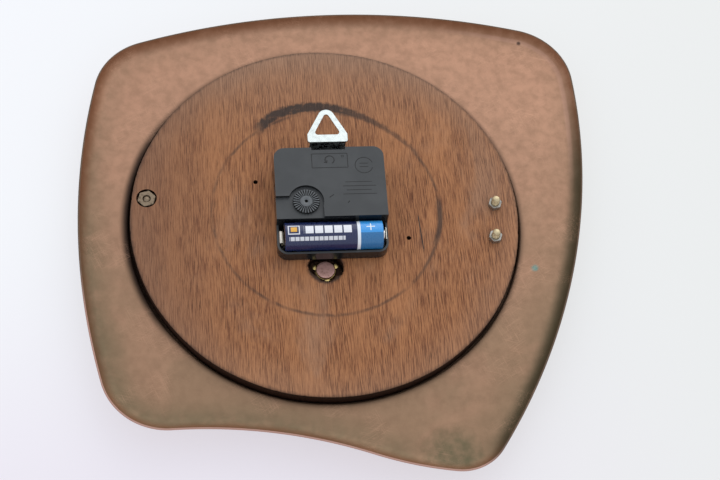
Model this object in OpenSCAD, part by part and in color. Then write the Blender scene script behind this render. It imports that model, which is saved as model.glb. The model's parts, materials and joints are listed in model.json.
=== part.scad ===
// Freeform copper wall clock with a round plywood backing disc and a quartz movement.
// Every piece is drawn in the bench frame: the clock lies on its face, seen from behind,
// X to the right, Y up the clock towards twelve, Z up out of its back. The hands' axis is
// X = Y = 0 and the back of the wood is Z = 0. hang() then stands the clock up on its hook.

/* [Copper dial plate] */
// Thickness of the copper sheet
sheet_t = 1; // [0.8:0.1:1.2]
// How far the wood stands proud of the sheet around it
disc_proud = 5; // [4.5:0.1:5.5]
// Depth of the round recess pressed into the sheet
recess_depth = 4; // [3.5:0.1:4.5]
// Free gap between the wood and the wall of the recess
recess_gap = 1; // [0.8:0.1:1.5]
// Outside radius of the turned-up rim
rim_r = 9; // [8:0.5:10]
// Angle through which the rim is turned up, in degrees
rim_bend = 55; // [50:1:60]

/* [Outline of the plate] */
// Radius of the corner near eleven o'clock, seen from behind at the top left
corner_tl_r = 32.5; // [30:0.5:35]
// Radius of the corner at the top right
corner_tr_r = 34; // [32:0.5:36]
// Radius of the corner at the bottom right
corner_br_r = 24; // [22:0.5:26]
// Radius of the corner at the bottom left
corner_bl_r = 33; // [31:0.5:35]
// Radius of the top edge
top_r = 380; // [360:5:400]
// Radius of the right edge
right_r = 325; // [315:5:335]
// Radius of the left edge
left_r = 365; // [355:5:380]
// Radius of the convex half of the bottom edge
swell_r = 180; // [170:5:190]
// Radius of the hollow half of the bottom edge
hollow_r = 255; // [245:5:265]

/* [Backing disc] */
// Radius of the plywood disc
disc_r = 99; // [98:0.5:99.5]

/* [Movement] */
// Width and height of the movement's case
case_w = 56; // [56:0.5:57]
// Height of the case's back above the wood
case_top = 16.2; // [16:0.1:16.4]
// Thickness of the case's walls
wall = 1.1; // [1:0.1:1.2]
// Radius of the ribbed setting knob
knob_r = 6.8; // [6.5:0.1:7]
// Length of the cell without its button
cell_l = 49.4; // [49.2:0.1:49.6]
// Radius of the cell
cell_r = 7.05; // [7:0.05:7.25]

/* [Hands and markers] */
// Length of the hour hand from the axis
hour_l = 46; // [40:1:50]
// Length of the minute hand from the axis
minute_l = 66; // [60:1:72]
// Length of the second hand from the axis
second_l = 60; // [54:1:72]
// Radius at which the hour markers begin
marker_in = 62; // [58:1:63]
// Length of an hour marker
marker_l = 14; // [10:1:15]

/* [Hanger] */
// Thickness of the hanger's sheet steel
hanger_t = 1; // [0.9:0.1:1]
// Half of the hanger's width
hanger_half_w = 10.2; // [10:0.1:10.5]
// Height of the tip of the hanger above the hands' axis
hanger_tip = 49.6; // [48:0.1:50]

/* [Hidden] */
$fn = 72;
eps = 0.01;

// Heights in the bench frame
sheet_back = -disc_proud;                  // flat of the copper, side towards the wall
sheet_front = sheet_back - sheet_t;
floor_back = sheet_back - recess_depth;    // floor of the recess, where the wood sits
floor_front = floor_back - sheet_t;        // face of the raised dial
disc_c = [-2, -3];                         // centre of the wood and of the recess
recess_r = disc_r + recess_gap;
bend_in = 0.3;                             // inner radius of the recess's two bends
bend_out = bend_in + sheet_t;

// Outline of the plate: corner circles [x, y, radius], clockwise from the top left
corner_tl = [-86, 73, corner_tl_r];
corner_tr = [101.5, 75.5, corner_tr_r];
corner_br = [56, -116.5, corner_br_r];
corner_bl = [-83, -81, corner_bl_r];
swell_angle = -98;                         // direction in which the swell meets its corner
edge_w = rim_r + 4;                        // width of the strip that is swept with the rim

// Movement
case_base = hanger_t;                      // the hanger's strip lies under the case
case_floor = case_base + 1.4;              // inside of the case, over the wheels
bay_floor = case_base + 0.5;               // inside of the case, under the cell
case_split = 6;                            // where the front case meets the back cover
bay_top = 7.6;                             // top of the low wall around the cell
roof_t = 1.4;
half = case_w / 2;
case_corner = 5.5;
cell_y = -19.1;
cell_z = bay_floor + cell_r + 0.1;
bay_y = cell_y + cell_r + 0.4;             // cell side of the wall between cell and wheels
divider_t = 1.2;
knob_xy = [-12.8, -2.7];
well_r = 8.9;                              // radius of the sunken place around the knob
well_top = case_top - 1.8;
knob_stem_r = 1.2;

// Shaft, from the outside in: each tube runs in the next with a small gap
run_gap = 0.05;
bush_r = 4;                                // M8 thread
bush_flange_r = 6;
hour_tube_r = 2.5;
minute_tube_r = 1.6;
second_shaft_r = 0.6;
bush_end = floor_front - 4.6;
hour_end = floor_front - 5.8;
minute_end = floor_front - 7.8;
second_end = floor_front - 9.8;
hand_t = 0.5;

// Wheel train: tooth counts and modules
rotor_z = 10; inter_z = 50; rotor_m = 0.28;
inter_pz = 10; second_z = 60; inter_m = 0.30;
second_pz = 8; third_z = 60; second_m = 0.30;
third_pz = 8; minute_z = 64;
cannon_z = 10; motion_z = 30; motion_pz = 8; hour_z = 32; knob_z = 14; motion_m = 0.45;
third_d = second_m * (second_pz + third_z) / 2;
third_m = 2 * third_d / (third_pz + minute_z);
inter_d = inter_m * (inter_pz + second_z) / 2;
rotor_d = rotor_m * (rotor_z + inter_z) / 2;
motion_d = motion_m * (cannon_z + motion_z) / 2;
knob_d = motion_m * (motion_z + knob_z) / 2;
arbor_r = 0.35;
pivot_top = case_top - roof_t + 0.6;       // arbors run this far up into the roof

// Wheel centres
third_xy = third_d * [cos(60), sin(60)];
inter_xy = [inter_d, 0];
rotor_xy = inter_xy + rotor_d * [cos(10), sin(10)];
motion_xy = meet([0, 0], motion_d, knob_xy, knob_d);

// Third corner of a triangle with sides ra and rb on the base a to b, on its left side
function meet(a, ra, b, rb) =
    let (v = b - a, d = norm(v), u = v / d, s = (ra * ra - rb * rb + d * d) / (2 * d))
    a + u * s - [-u.y, u.x] * sqrt(ra * ra - s * s);

function direction(a, b) = atan2(b.y - a.y, b.x - a.x);

// Angle of a tooth on wheel b, so that it meshes with wheel a, whose tooth is at phase_a
function mesh_phase(a, za, phase_a, b, zb) =
    let (t = direction(a, b)) t + 180 - za / zb * (phase_a - t) - 180 / zb;

inter_phase = mesh_phase(rotor_xy, rotor_z, 0, inter_xy, inter_z);
second_phase = mesh_phase(inter_xy, inter_pz, 0, [0, 0], second_z);
third_phase = mesh_phase([0, 0], second_pz, 0, third_xy, third_z);
minute_phase = mesh_phase(third_xy, third_pz, 0, [0, 0], minute_z);
motion_phase = mesh_phase([0, 0], cannon_z, 0, motion_xy, motion_z);
hour_phase = mesh_phase(motion_xy, motion_pz, 0, [0, 0], hour_z);
knob_phase = mesh_phase(motion_xy, motion_z, motion_phase, knob_xy, knob_z);

// Hanger
hanger_back = case_top + hanger_t;         // face of the hanger that meets the wall
leg_y = half + 2.6;                        // near side of the leg that climbs past the case
eye_tip_r = 1.5;
eye_tip_y = hanger_tip - 2.8 - eye_tip_r;
eye_top = [0, eye_tip_y + eye_tip_r, hanger_back - hanger_t / 2];

// Stands the clock up: its back faces +Y, twelve is +Z, and the top of the hanger's eye is the origin
module hang() translate([eye_top.x, -eye_top.z, -eye_top.y]) rotate([90, 0, 180]) children();

// ---- Flat shapes ------------------------------------------------------------------

// Convex outline around the circles c = [[x, y, r], ...], listed counterclockwise
module round_plate(c) {
    n = len(c);
    polygon([for (i = [0:n - 1])
        let (a = c[i], b = c[(i + 1) % n], v = [b.x - a.x, b.y - a.y], d = norm(v), u = v / d,
             s = (a.z - b.z) / d, w = u * s + [u.y, -u.x] * sqrt(1 - s * s))
        each [[a.x, a.y] + a.z * w, [b.x, b.y] + b.z * w]]);
    for (q = c) translate([q.x, q.y]) circle(q.z);
}

// Ring sector from angle a0 to a1, less than 180 degrees
module ring_sector(r_in, r_out, a0, a1) {
    far = 2 * r_out;
    mid = (a0 + a1) / 2;
    intersection() {
        difference() { circle(r_out); circle(r_in); }
        polygon([[0, 0], far * [cos(a0), sin(a0)], far * [cos(mid), sin(mid)], far * [cos(a1), sin(a1)]]);
    }
}

// Toothed rim: straight-sided teeth, narrower than their gaps so that they run free
module toothed(z, m, phase, bore) {
    pitch = 360 / z;
    root = z * m / 2 - 1.15 * m;
    tip = z * m / 2 + 0.8 * m;
    difference() {
        polygon([for (i = [0:z - 1]) let (a = phase + i * pitch)
            each [for (p = [[root, -0.27], [tip, -0.1], [tip, 0.1], [root, 0.27]])
                p[0] * [cos(a + p[1] * pitch), sin(a + p[1] * pitch)]]]);
        circle(bore);
    }
}

module wheel(z, m, phase, bore, low, high)
    translate([0, 0, low]) linear_extrude(high - low) toothed(z, m, phase, bore);

module tube(r_out, r_in, low, high)
    translate([0, 0, low]) difference() {
        cylinder(r = r_out, h = high - low);
        translate([0, 0, -1]) cylinder(r = r_in, h = high - low + 2);
    }

module rod(r, low, high) translate([0, 0, low]) cylinder(r = r, h = high - low);

// ---- Copper dial plate -------------------------------------------------------------

// Centre of the circle of radius big that touches the circles a and b from inside (side = 1)
// or from outside (side = -1)
function side_centre(a, b, big, side) =
    let (ra = big - side * a.z, rb = big - side * b.z, p = [a.x, a.y], q = [b.x, b.y])
    side > 0 ? meet(p, ra, q, rb) : meet(q, rb, p, ra);

swell = let (c = [corner_br.x, corner_br.y]
    + (corner_br_r - swell_r) * [cos(swell_angle), sin(swell_angle)]) [c.x, c.y, swell_r];

// The outline's arcs, clockwise: [centre, radius, 1 for a bulge or -1 for a hollow]
ARCS = [
    [[corner_tl.x, corner_tl.y], corner_tl_r, 1],
    [side_centre(corner_tl, corner_tr, top_r, 1), top_r, 1],
    [[corner_tr.x, corner_tr.y], corner_tr_r, 1],
    [side_centre(corner_tr, corner_br, right_r, 1), right_r, 1],
    [[corner_br.x, corner_br.y], corner_br_r, 1],
    [[swell.x, swell.y], swell_r, 1],
    [side_centre(swell, corner_bl, hollow_r, -1), hollow_r, -1],
    [[corner_bl.x, corner_bl.y], corner_bl_r, 1],
    [side_centre(corner_bl, corner_tl, left_r, 1), left_r, 1]];

// Direction from arc a's centre to the point where it touches arc b
function touch_angle(a, b) =
    direction(a[0], b[0]) + (a[2] == b[2] && a[1] < b[1] ? 180 : 0);

function wrap(t) = t - 360 * floor(t / 360);

// An arc's first angle and its sweep, both counterclockwise
function arc_start(i) = let (n = len(ARCS))
    touch_angle(ARCS[i], ARCS[ARCS[i][2] > 0 ? (i + 1) % n : (i + n - 1) % n]);
function arc_sweep(i) = let (n = len(ARCS))
    wrap(touch_angle(ARCS[i], ARCS[ARCS[i][2] > 0 ? (i + n - 1) % n : (i + 1) % n]) - arc_start(i));

// Section of the rim, edge at x = 0: the flat strip, the front of the lip that turns up towards
// the wall, then the back of it
function rim_section() = let (steps = 6, c = [-rim_r * sin(rim_bend), sheet_front + rim_r]) concat(
    [[-edge_w, sheet_front]],
    [for (k = [0:steps]) let (t = -90 + rim_bend * k / steps) c + rim_r * [cos(t), sin(t)]],
    [for (k = [steps:-1:0]) let (t = -90 + rim_bend * k / steps) c + (rim_r - sheet_t) * [cos(t), sin(t)]],
    [[-edge_w, sheet_back]]);

// Stations along the outline, clockwise: [arc's centre, direction, radius, 1 or -1]
STATIONS = [for (i = [0:len(ARCS) - 1])
    let (c = ARCS[i][0], r = ARCS[i][1], s = ARCS[i][2], n = ceil(arc_sweep(i) / (r < 60 ? 8 : 3)))
    each [for (k = [0.5:n - 0.5])
        let (t = arc_start(i) + arc_sweep(i) * (s > 0 ? 1 - k / n : k / n)) [c, [cos(t), sin(t)], r, s]]];

function at_station(s, x) = s[0] + (s[2] + s[3] * x) * s[1];

// The rim: its section carried once around the outline
module rim() {
    section = rim_section();
    m = len(section);
    n = len(STATIONS);
    polyhedron(
        points = [for (s = STATIONS) each [for (p = section) let (q = at_station(s, p.x)) [q.x, q.y, p.y]]],
        faces = [for (i = [0:n - 1], j = [0:m - 1])
            let (a = i * m, b = (i + 1) % n * m, k = (j + 1) % m)
            each [[a + j, b + k, a + k], [a + j, b + j, b + k]]]);
}

module copper_plate() color("#ae8872") difference() {
    union() {
        rim();
        translate([0, 0, sheet_front]) linear_extrude(sheet_t) difference() {
            polygon([for (s = STATIONS) at_station(s, -edge_w)]);
            translate(disc_c) circle(recess_r + bend_out + 1);
        }
        translate(disc_c) rotate_extrude() recess_section();
    }
    rod(bush_r + 0.1, floor_front - 1, floor_back + 1);
    translate(plug_xy) rod(plug_r, floor_front - 1, floor_back + 1);
    for (p = concat([left_bolt_xy], right_bolt_xy)) translate(p)
        rod(bolt_r, floor_front - 1, floor_back + 1);
}

// Half section of the recess: its floor, two bends and the flat around it
module recess_section() {
    translate([0, floor_front]) square([recess_r - bend_in + eps, sheet_t]);
    translate([recess_r - bend_in, floor_back + bend_in]) ring_sector(bend_in, bend_out, -90, 0);
    translate([recess_r, floor_back + bend_in])
        square([sheet_t, recess_depth - bend_in - bend_out]);
    translate([recess_r + bend_out, sheet_back - bend_out]) ring_sector(bend_in, bend_out, 90, 180);
    translate([recess_r + bend_out - eps, sheet_front]) square([1.5, sheet_t]);
}

// ---- Wood and fasteners ------------------------------------------------------------

left_bolt_xy = [-92.6, 9.8];
right_bolt_xy = [[85.4, 0.7], [83.6, -18.3]];
bolt_r = 2;
left_nut_r = 4.8;                          // across corners, in its counterbore
right_nut_r = 3.6;
nut_h = 3;
counterbore = 3.6;
screw_holes = [[-37, 17.6], [39.4, -16.9]];  // left by the first movement
plug_xy = [-3.8, -32];
plug_r = 4.7;
plug_back = -3;                            // the plug's flat end, inside the wood

module backing_disc() color("#8e5f45") difference() {
    translate(disc_c) rod(disc_r, floor_back, 0);
    rod(bush_r + 0.6, floor_back - 1, 1);
    for (p = concat([left_bolt_xy], right_bolt_xy)) translate(p) rod(bolt_r, floor_back - 1, 1);
    translate(left_bolt_xy) rod(5.2, -counterbore, 1);
    for (p = screw_holes) translate(p) rod(0.9, -6, 1);
    // The winding hole, chewed open around its old collar
    translate([plug_xy.x, plug_xy.y, floor_back - 1]) linear_extrude(2 - floor_back)
        polygon([[-9.2, 1.4], [-7.4, -3], [-4.6, -4.6], [-2.6, -7.2], [2.2, -7.6], [5, -5],
            [7.8, -4.4], [9, -1.2], [8.2, 3.2], [5.6, 6.6], [-1, 7.6], [-6.4, 6]]);
}

module bolt(top) {
    rod(bolt_r, floor_front - eps, top);
    translate([0, 0, floor_front]) rotate_extrude() intersection() {
        translate([0, 3.2]) circle(5.2);
        translate([0, -4]) square([3.8, 4]);
    }
}

module hex_nut(r, bore, low, high, turn) rotate(turn) difference() {
    translate([0, 0, low]) cylinder(r = r, h = high - low, $fn = 6);
    rod(bore, low - 1, high + 1);
}

module left_bolt() color("#9c9078") translate(left_bolt_xy) bolt(-0.4);
module left_nut() color("#8f8778") translate(left_bolt_xy)
    hex_nut(left_nut_r, bolt_r, -counterbore, -counterbore + nut_h + 0.4, 15);
module right_bolts() color("#b9ab7c") for (p = right_bolt_xy) translate(p) bolt(7.4);
module right_nuts() color("#9a9483") for (p = right_bolt_xy) translate(p)
    hex_nut(right_nut_r, bolt_r, 0, nut_h, 10);

// Domed cap over the old winding hole, and the plug behind it that shows as a copper disc
module winding_hole_plug() color("#b07c70") translate(plug_xy) {
    translate([0, 0, floor_front]) rotate_extrude() intersection() {
        translate([0, 18.5]) circle(20, $fn = 360);
        translate([0, -3]) square([6.8, 3]);
    }
    rod(plug_r, floor_front - eps, plug_back);
}

// Brass collar around the plug, with three claws bent out from its end
module plug_claws() color("#b08d3c") translate(plug_xy) {
    tube(plug_r + 0.4, plug_r, floor_back, plug_back);
    for (t = [20, 165, 275]) rotate(t) translate([plug_r + 0.3, -1.3, plug_back - 0.5]) cube([1.8, 2.6, 0.5]);
}

module hour_markers() color("#b9964f") for (i = [0:11]) rotate(i * 30)
    translate([-1.5, marker_in, floor_front - 1.2]) cube([3, marker_l, 1.2]);

// ---- Hanger ------------------------------------------------------------------------

// Sheet steel: a strip under the movement with a hole for the bush, a leg that climbs past
// the top of the case, and a flat triangular eye level with its back
module hanger() color("#dfe6e8") {
    corner_r = 1;
    side_x = hanger_half_w - corner_r;
    difference() {
        union() {
            linear_extrude(hanger_t) round_plate([[-4, -4, 4], [4, -4, 4],
                [side_x, leg_y - corner_r + hanger_t, corner_r], [-side_x, leg_y - corner_r + hanger_t, corner_r]]);
            translate([-side_x, leg_y, 0]) cube([2 * side_x, hanger_t, hanger_back]);
            translate([0, 0, case_top]) linear_extrude(hanger_t) round_plate([
                [-side_x, leg_y + corner_r, corner_r], [side_x, leg_y + corner_r, corner_r],
                [side_x, leg_y + 4.4, corner_r], [0, hanger_tip - 4.2, 4.2], [-side_x, leg_y + 4.4, corner_r]]);
        }
        rod(bush_r + 0.1, -1, hanger_t + 1);
        translate([0, 0, case_top - 1]) linear_extrude(hanger_t + 2)
            round_plate([[-4.7, leg_y + 5.7, 1.5], [4.7, leg_y + 5.7, 1.5], [0, eye_tip_y, eye_tip_r]]);
    }
}

// ---- Movement case -----------------------------------------------------------------

// Outline of the case, moved inwards by d
module case_outline(d) {
    c = half - case_corner;
    round_plate([for (p = [[-c, -c], [c, -c], [c, c], [-c, c]]) [p.x, p.y, case_corner - d]]);
}

module beyond(low_y, high_y) translate([-half - 1, low_y]) square([case_w + 2, high_y - low_y]);

// Front case: a tray with the posts that the wheels turn on
module front_case() color("#2b2c2e") difference() {
    translate([0, 0, case_base]) linear_extrude(case_split - case_base) case_outline(0);
    translate([0, 0, case_floor]) linear_extrude(case_split) difference() {
        case_outline(wall);
        beyond(-half - 1, bay_y + divider_t);
        for (p = [third_xy, inter_xy]) translate(p) circle(1.2);
        translate(motion_xy) circle(0.9);
        translate(rotor_xy) circle(1.6);
        translate(knob_xy) circle(2.2);
    }
    translate([0, 0, bay_floor]) linear_extrude(case_split) intersection() {
        case_outline(wall);
        beyond(-half - 1, bay_y + divider_t);
    }
    // The wheel posts are cut down to their own heights
    translate([third_xy.x, third_xy.y, 3.4]) cylinder(r = 1.3, h = 5);
    translate([inter_xy.x, inter_xy.y, 3.4]) cylinder(r = 1.3, h = 5);
    translate([motion_xy.x, motion_xy.y, 5.1]) cylinder(r = 1, h = 5);
    translate([knob_xy.x, knob_xy.y, 3.4]) cylinder(r = 2.3, h = 5);
    for (p = [third_xy, inter_xy]) translate(p) rod(arbor_r + run_gap, 1.9, 8);
    translate(rotor_xy) rod(arbor_r + run_gap, 3, 8);
    translate(knob_xy) rod(0.8 + run_gap, 1.9, 8);
    rod(bush_r, 0, 8);
    rod(bush_flange_r, case_floor - 0.6, 8);
}

// Back cover: the roof over the wheels, the sunken place for the knob and the low wall of the bay
module back_cover() color("#303133") {
    difference() {
        union() {
            translate([0, 0, case_split]) linear_extrude(case_top - case_split) intersection() {
                case_outline(0);
                beyond(bay_y, half + 1);
            }
            translate([0, 0, case_split]) linear_extrude(bay_top - case_split) difference() {
                case_outline(0);
                intersection() { case_outline(wall); beyond(-half - 1, bay_y); }
            }
        }
        translate([0, 0, case_split - 1]) linear_extrude(case_top - roof_t - case_split + 1)
            difference() {
                case_outline(wall);
                beyond(-half - 1, bay_y + divider_t);
                well_shape(roof_t);
            }
        translate([0, 0, case_split - 1]) linear_extrude(well_top - roof_t - case_split + 1)
            intersection() {
                case_outline(wall);
                beyond(bay_y + divider_t, half);
                well_shape(roof_t);
            }
        translate([0, 0, well_top]) linear_extrude(5) well_shape(0);
        translate(knob_xy) rod(knob_stem_r + 0.1, case_split, case_top + 1);
        rod(0.4 + run_gap, case_split, pivot_top);
        for (p = [third_xy, inter_xy, rotor_xy]) translate(p) rod(arbor_r + run_gap, case_split, pivot_top);
        // Notch in front of the hanger's leg
        translate([-8.6, half - 1.5, case_top - 5]) cube([17.2, 3, 6]);
        // Snap slots in both sides
        for (s = [-1, 1]) translate([s * half - 1, 7, 6.6]) cube([2, 4, 5]);
    }
    // The wall between the cell and the wheels reaches down into the front case
    translate([wall - half, bay_y, bay_floor]) cube([case_w - 2 * wall, divider_t, case_split - bay_floor + eps]);
}

// Sunken place: a strip along the cell, left of the knob, and a round end about it
module well_shape(d) {
    translate([-half - 1, bay_y - 1]) square([knob_xy.x + half + 1, knob_xy.y + 3.1 - bay_y + 1 + d]);
    translate([knob_xy.x - eps, bay_y - 1]) square([well_r - 0.3 + d, knob_xy.y - bay_y + 1]);
    translate(knob_xy) circle(well_r + d);
}

module threaded_bush() color("#c9a24e") {
    tube(bush_r, hour_tube_r + run_gap, bush_end, case_floor - 0.6 + eps);
    tube(bush_flange_r, hour_tube_r + run_gap, case_floor - 0.6, case_floor - 0.1);
}
module shaft_washer() color("#c9a24e") tube(7, bush_r, floor_front - 0.6, floor_front);
module shaft_nut() color("#c9a24e")
    hex_nut(6.4, bush_r, floor_front - 3.2, floor_front - 0.6, 0);

// ---- Cell and contacts -------------------------------------------------------------

cell_x = -cell_l / 2 + 0.3;                // the flat, negative end

module battery() color("#27325f") translate([cell_x, cell_y, cell_z]) rotate([0, 90, 0]) {
    cylinder(r = cell_r, h = cell_l);
    cylinder(r = 2.7, h = cell_l + 1.1);
}

contact_t = 0.3;
contact_w = 6.6;

module negative_contact() color("#d8d5c8") {
    // Plate against the end wall, and the sprung tongue that reaches the cell
    translate([wall - half, cell_y - contact_w / 2, bay_floor]) cube([contact_t, contact_w, 7.5]);
    translate([wall - half + contact_t - eps, cell_y - 2, cell_z - 0.4])
        cube([cell_x - wall + half - contact_t + eps, 4, contact_t]);
}

module positive_contact() color("#d8d5c8") {
    end_x = half - wall - contact_t;
    translate([end_x, cell_y - contact_w / 2, bay_floor]) cube([contact_t, contact_w, 7.5]);
    translate([cell_x + cell_l + 1.1, cell_y - 1.8, cell_z - 0.4])
        cube([end_x - cell_x - cell_l - 1.1 + eps, 3.6, contact_t]);
}

// ---- Electronics -------------------------------------------------------------------

board_z = 8;
board_t = 0.8;

module circuit_board() color("#3c6b45") difference() {
    translate([-25.5, 13.5, board_z]) cube([19.5, 12, board_t]);
    translate([-23, 23, board_z - 1]) cylinder(r = 1, h = 3);
}
module driver_chip() color("#202020") translate([-12, 20, board_z + board_t]) intersection() {
    translate([0, 0, -2.4]) sphere(4);
    cylinder(r = 4, h = 2);
}
module quartz_crystal() color("#c4c8cc") translate([-24, 16, board_z + board_t + 1])
    rotate([0, 90, 0]) cylinder(r = 1, h = 6);

coil_y = 22.75;
coil_z = 11.1;
coil_x = [2.4, 20.6];

module along_coil(x0, r_out, r_in, l) translate([x0, coil_y, coil_z]) rotate([0, 90, 0]) difference() {
    cylinder(r = r_out, h = l);
    translate([0, 0, -1]) cylinder(r = r_in, h = l + 2);
}

module coil_bobbin() color("#e8e4d8") difference() {
    union() {
        along_coil(coil_x[0], 1.9, 0.1, coil_x[1] - coil_x[0]);
        for (x = [coil_x[0], coil_x[1] - 0.8]) along_coil(x, 3, 0.1, 0.8);
    }
    translate([coil_x[0] - 1, coil_y - 1.25, coil_z - 0.5])
        cube([coil_x[1] - coil_x[0] + 2, 2.5, 1]);
}
module coil_winding() color("#a2522a")
    along_coil(coil_x[0] + 0.8, 2.8, 1.9, coil_x[1] - coil_x[0] - 1.6);
module coil_core() color("#9aa0a4") translate([-3, coil_y - 1.25, coil_z - 0.5]) cube([28.6, 2.5, 1]);

// Two-armed stator plate around the rotor
module stator() color("#a9afb3") translate([0, 0, coil_z + 0.5]) linear_extrude(1) difference() {
    polygon([[-3, 25.4], [2, 25.4], [2, 19.4], [16.5, 7.4], [21, 7.4], [21, 25.4], [25.6, 25.4],
        [25.6, -3], [23, -5.5], [15.5, -5.5], [13, -3], [13, 5], [-3, 18.4]]);
    translate(rotor_xy) circle(3.4);
    for (s = [-1, 1]) translate(rotor_xy + [0, s * 4.4]) square([0.6, 3], center = true);
}

// ---- Wheels ------------------------------------------------------------------------

module rotor() color("#5c5f66") translate(rotor_xy) {
    rod(arbor_r, 3.2, pivot_top - 0.1);
    wheel(rotor_z, rotor_m, 0, arbor_r - eps, 10.05, 11.1);
    tube(3, arbor_r - eps, 11.3, 13.1);
    rod(0.9, 11.1 - eps, 11.3 + eps);
}
module intermediate_wheel() color("#e9e6dc") translate(inter_xy) {
    rod(arbor_r, 2.1, pivot_top - 0.1);
    wheel(inter_pz, inter_m, 0, arbor_r - eps, 8.7, 10);
    rod(1, 10 - eps, 10.3 + eps);
    wheel(inter_z, rotor_m, inter_phase, arbor_r - eps, 10.3, 10.9);
}
module second_wheel() color("#e9e6dc") {
    rod(second_shaft_r, second_end, 8.9);
    rod(0.4, 8.9 - eps, pivot_top - 0.1);
    wheel(second_pz, second_m, 0, second_shaft_r - eps, 7.1, 8.5);
    rod(1.2, 8.5 - eps, 8.9 + eps);
    wheel(second_z, inter_m, second_phase, 0.39, 8.9, 9.5);
}
module third_wheel() color("#e9e6dc") translate(third_xy) {
    rod(arbor_r, 2.1, pivot_top - 0.1);
    wheel(third_pz, third_m, 0, arbor_r - eps, 5.3, 6.8);
    rod(1, 6.8 - eps, 7.4 + eps);
    wheel(third_z, second_m, third_phase, arbor_r - eps, 7.4, 8);
}
// The minute wheel grips the cannon pinion by friction, and slips when the hands are set
module minute_wheel() color("#e9e6dc") {
    wheel(minute_z, third_m, minute_phase, minute_tube_r + run_gap, 5.5, 6.2);
    tube(3, minute_tube_r + run_gap, 6.2 - eps, 6.7);
}
module cannon_pinion() color("#e9e6dc") {
    tube(minute_tube_r, second_shaft_r + run_gap, minute_end, 6.9);
    wheel(cannon_z, motion_m, 0, minute_tube_r - 0.1, 3.9, 5.2);
}
module motion_wheel() color("#e9e6dc") translate(motion_xy) {
    wheel(motion_pz, motion_m, 0, 0.9 + run_gap, 2.55, 3.9);
    tube(1.2, 0.9 + run_gap, 3.9 - eps, 4.1 + eps);
    wheel(motion_z, motion_m, motion_phase, 0.9 + run_gap, 4.1, 4.8);
}
module hour_wheel() color("#e9e6dc") {
    wheel(hour_z, motion_m, hour_phase, minute_tube_r + run_gap, 2.55, 3.6);
    tube(hour_tube_r, minute_tube_r + run_gap, hour_end, 2.6);
}
module setting_knob() color("#3a3b3d") translate(knob_xy) {
    rod(0.8, 2.1, 4.1);
    rod(knob_stem_r, 4.1 - eps, well_top + 0.3);
    wheel(knob_z, motion_m, knob_phase, knob_stem_r - eps, 4, 4.9);
    difference() {
        rod(knob_r, well_top + 0.25, case_top - 0.1);
        rod(1, case_top - 0.9, case_top + 1);
        for (i = [0:35]) rotate(i * 10) translate([3.6, -0.2, case_top - 0.5]) cube([5, 0.4, 1]);
    }
}

// ---- Hands: flat on the front, turned to ten past ten -------------------------------

module hand(l, w, tail, hub, bore, low) translate([0, 0, low]) linear_extrude(hand_t) difference() {
    union() {
        circle(hub);
        polygon([[-w / 2, -tail], [w / 2, -tail], [w * 0.5, l * 0.7], [0.4, l], [-0.4, l], [-w * 0.5, l * 0.7]]);
    }
    circle(bore);
}
module hour_hand() color("#b9964f") rotate(305) hand(hour_l, 5, 10, 5, hour_tube_r, hour_end + 0.1);
module minute_hand() color("#b9964f") rotate(60) hand(minute_l, 3.6, 12, 4, minute_tube_r, minute_end + 0.1);
module second_hand() color("#8c3b2c") rotate(210) hand(second_l, 1, 18, 2.6, second_shaft_r, second_end + 0.1);

hang() copper_plate();
hang() backing_disc();
hang() left_bolt();
hang() left_nut();
hang() right_bolts();
hang() right_nuts();
hang() winding_hole_plug();
hang() plug_claws();
hang() hour_markers();
hang() hanger();
hang() front_case();
hang() back_cover();
hang() threaded_bush();
hang() shaft_washer();
hang() shaft_nut();
hang() battery();
hang() negative_contact();
hang() positive_contact();
hang() circuit_board();
hang() driver_chip();
hang() quartz_crystal();
hang() coil_bobbin();
hang() coil_winding();
hang() coil_core();
hang() stator();
hang() rotor();
hang() intermediate_wheel();
hang() second_wheel();
hang() third_wheel();
hang() minute_wheel();
hang() cannon_pinion();
hang() motion_wheel();
hang() hour_wheel();
hang() setting_knob();
hang() hour_hand();
hang() minute_hand();
hang() second_hand();
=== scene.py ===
"""The looks of a freeform copper wall clock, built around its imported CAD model.

Shapes are worked out in bench millimetres: the clock lies on its face and is seen from behind,
x to the right, y up the clock towards twelve, z up out of its back, with the hands' axis at
x = y = 0 and the back of the wood at z = 0. stand() turns them into the frame's metres.
"""

import json
import math
from collections import namedtuple

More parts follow.
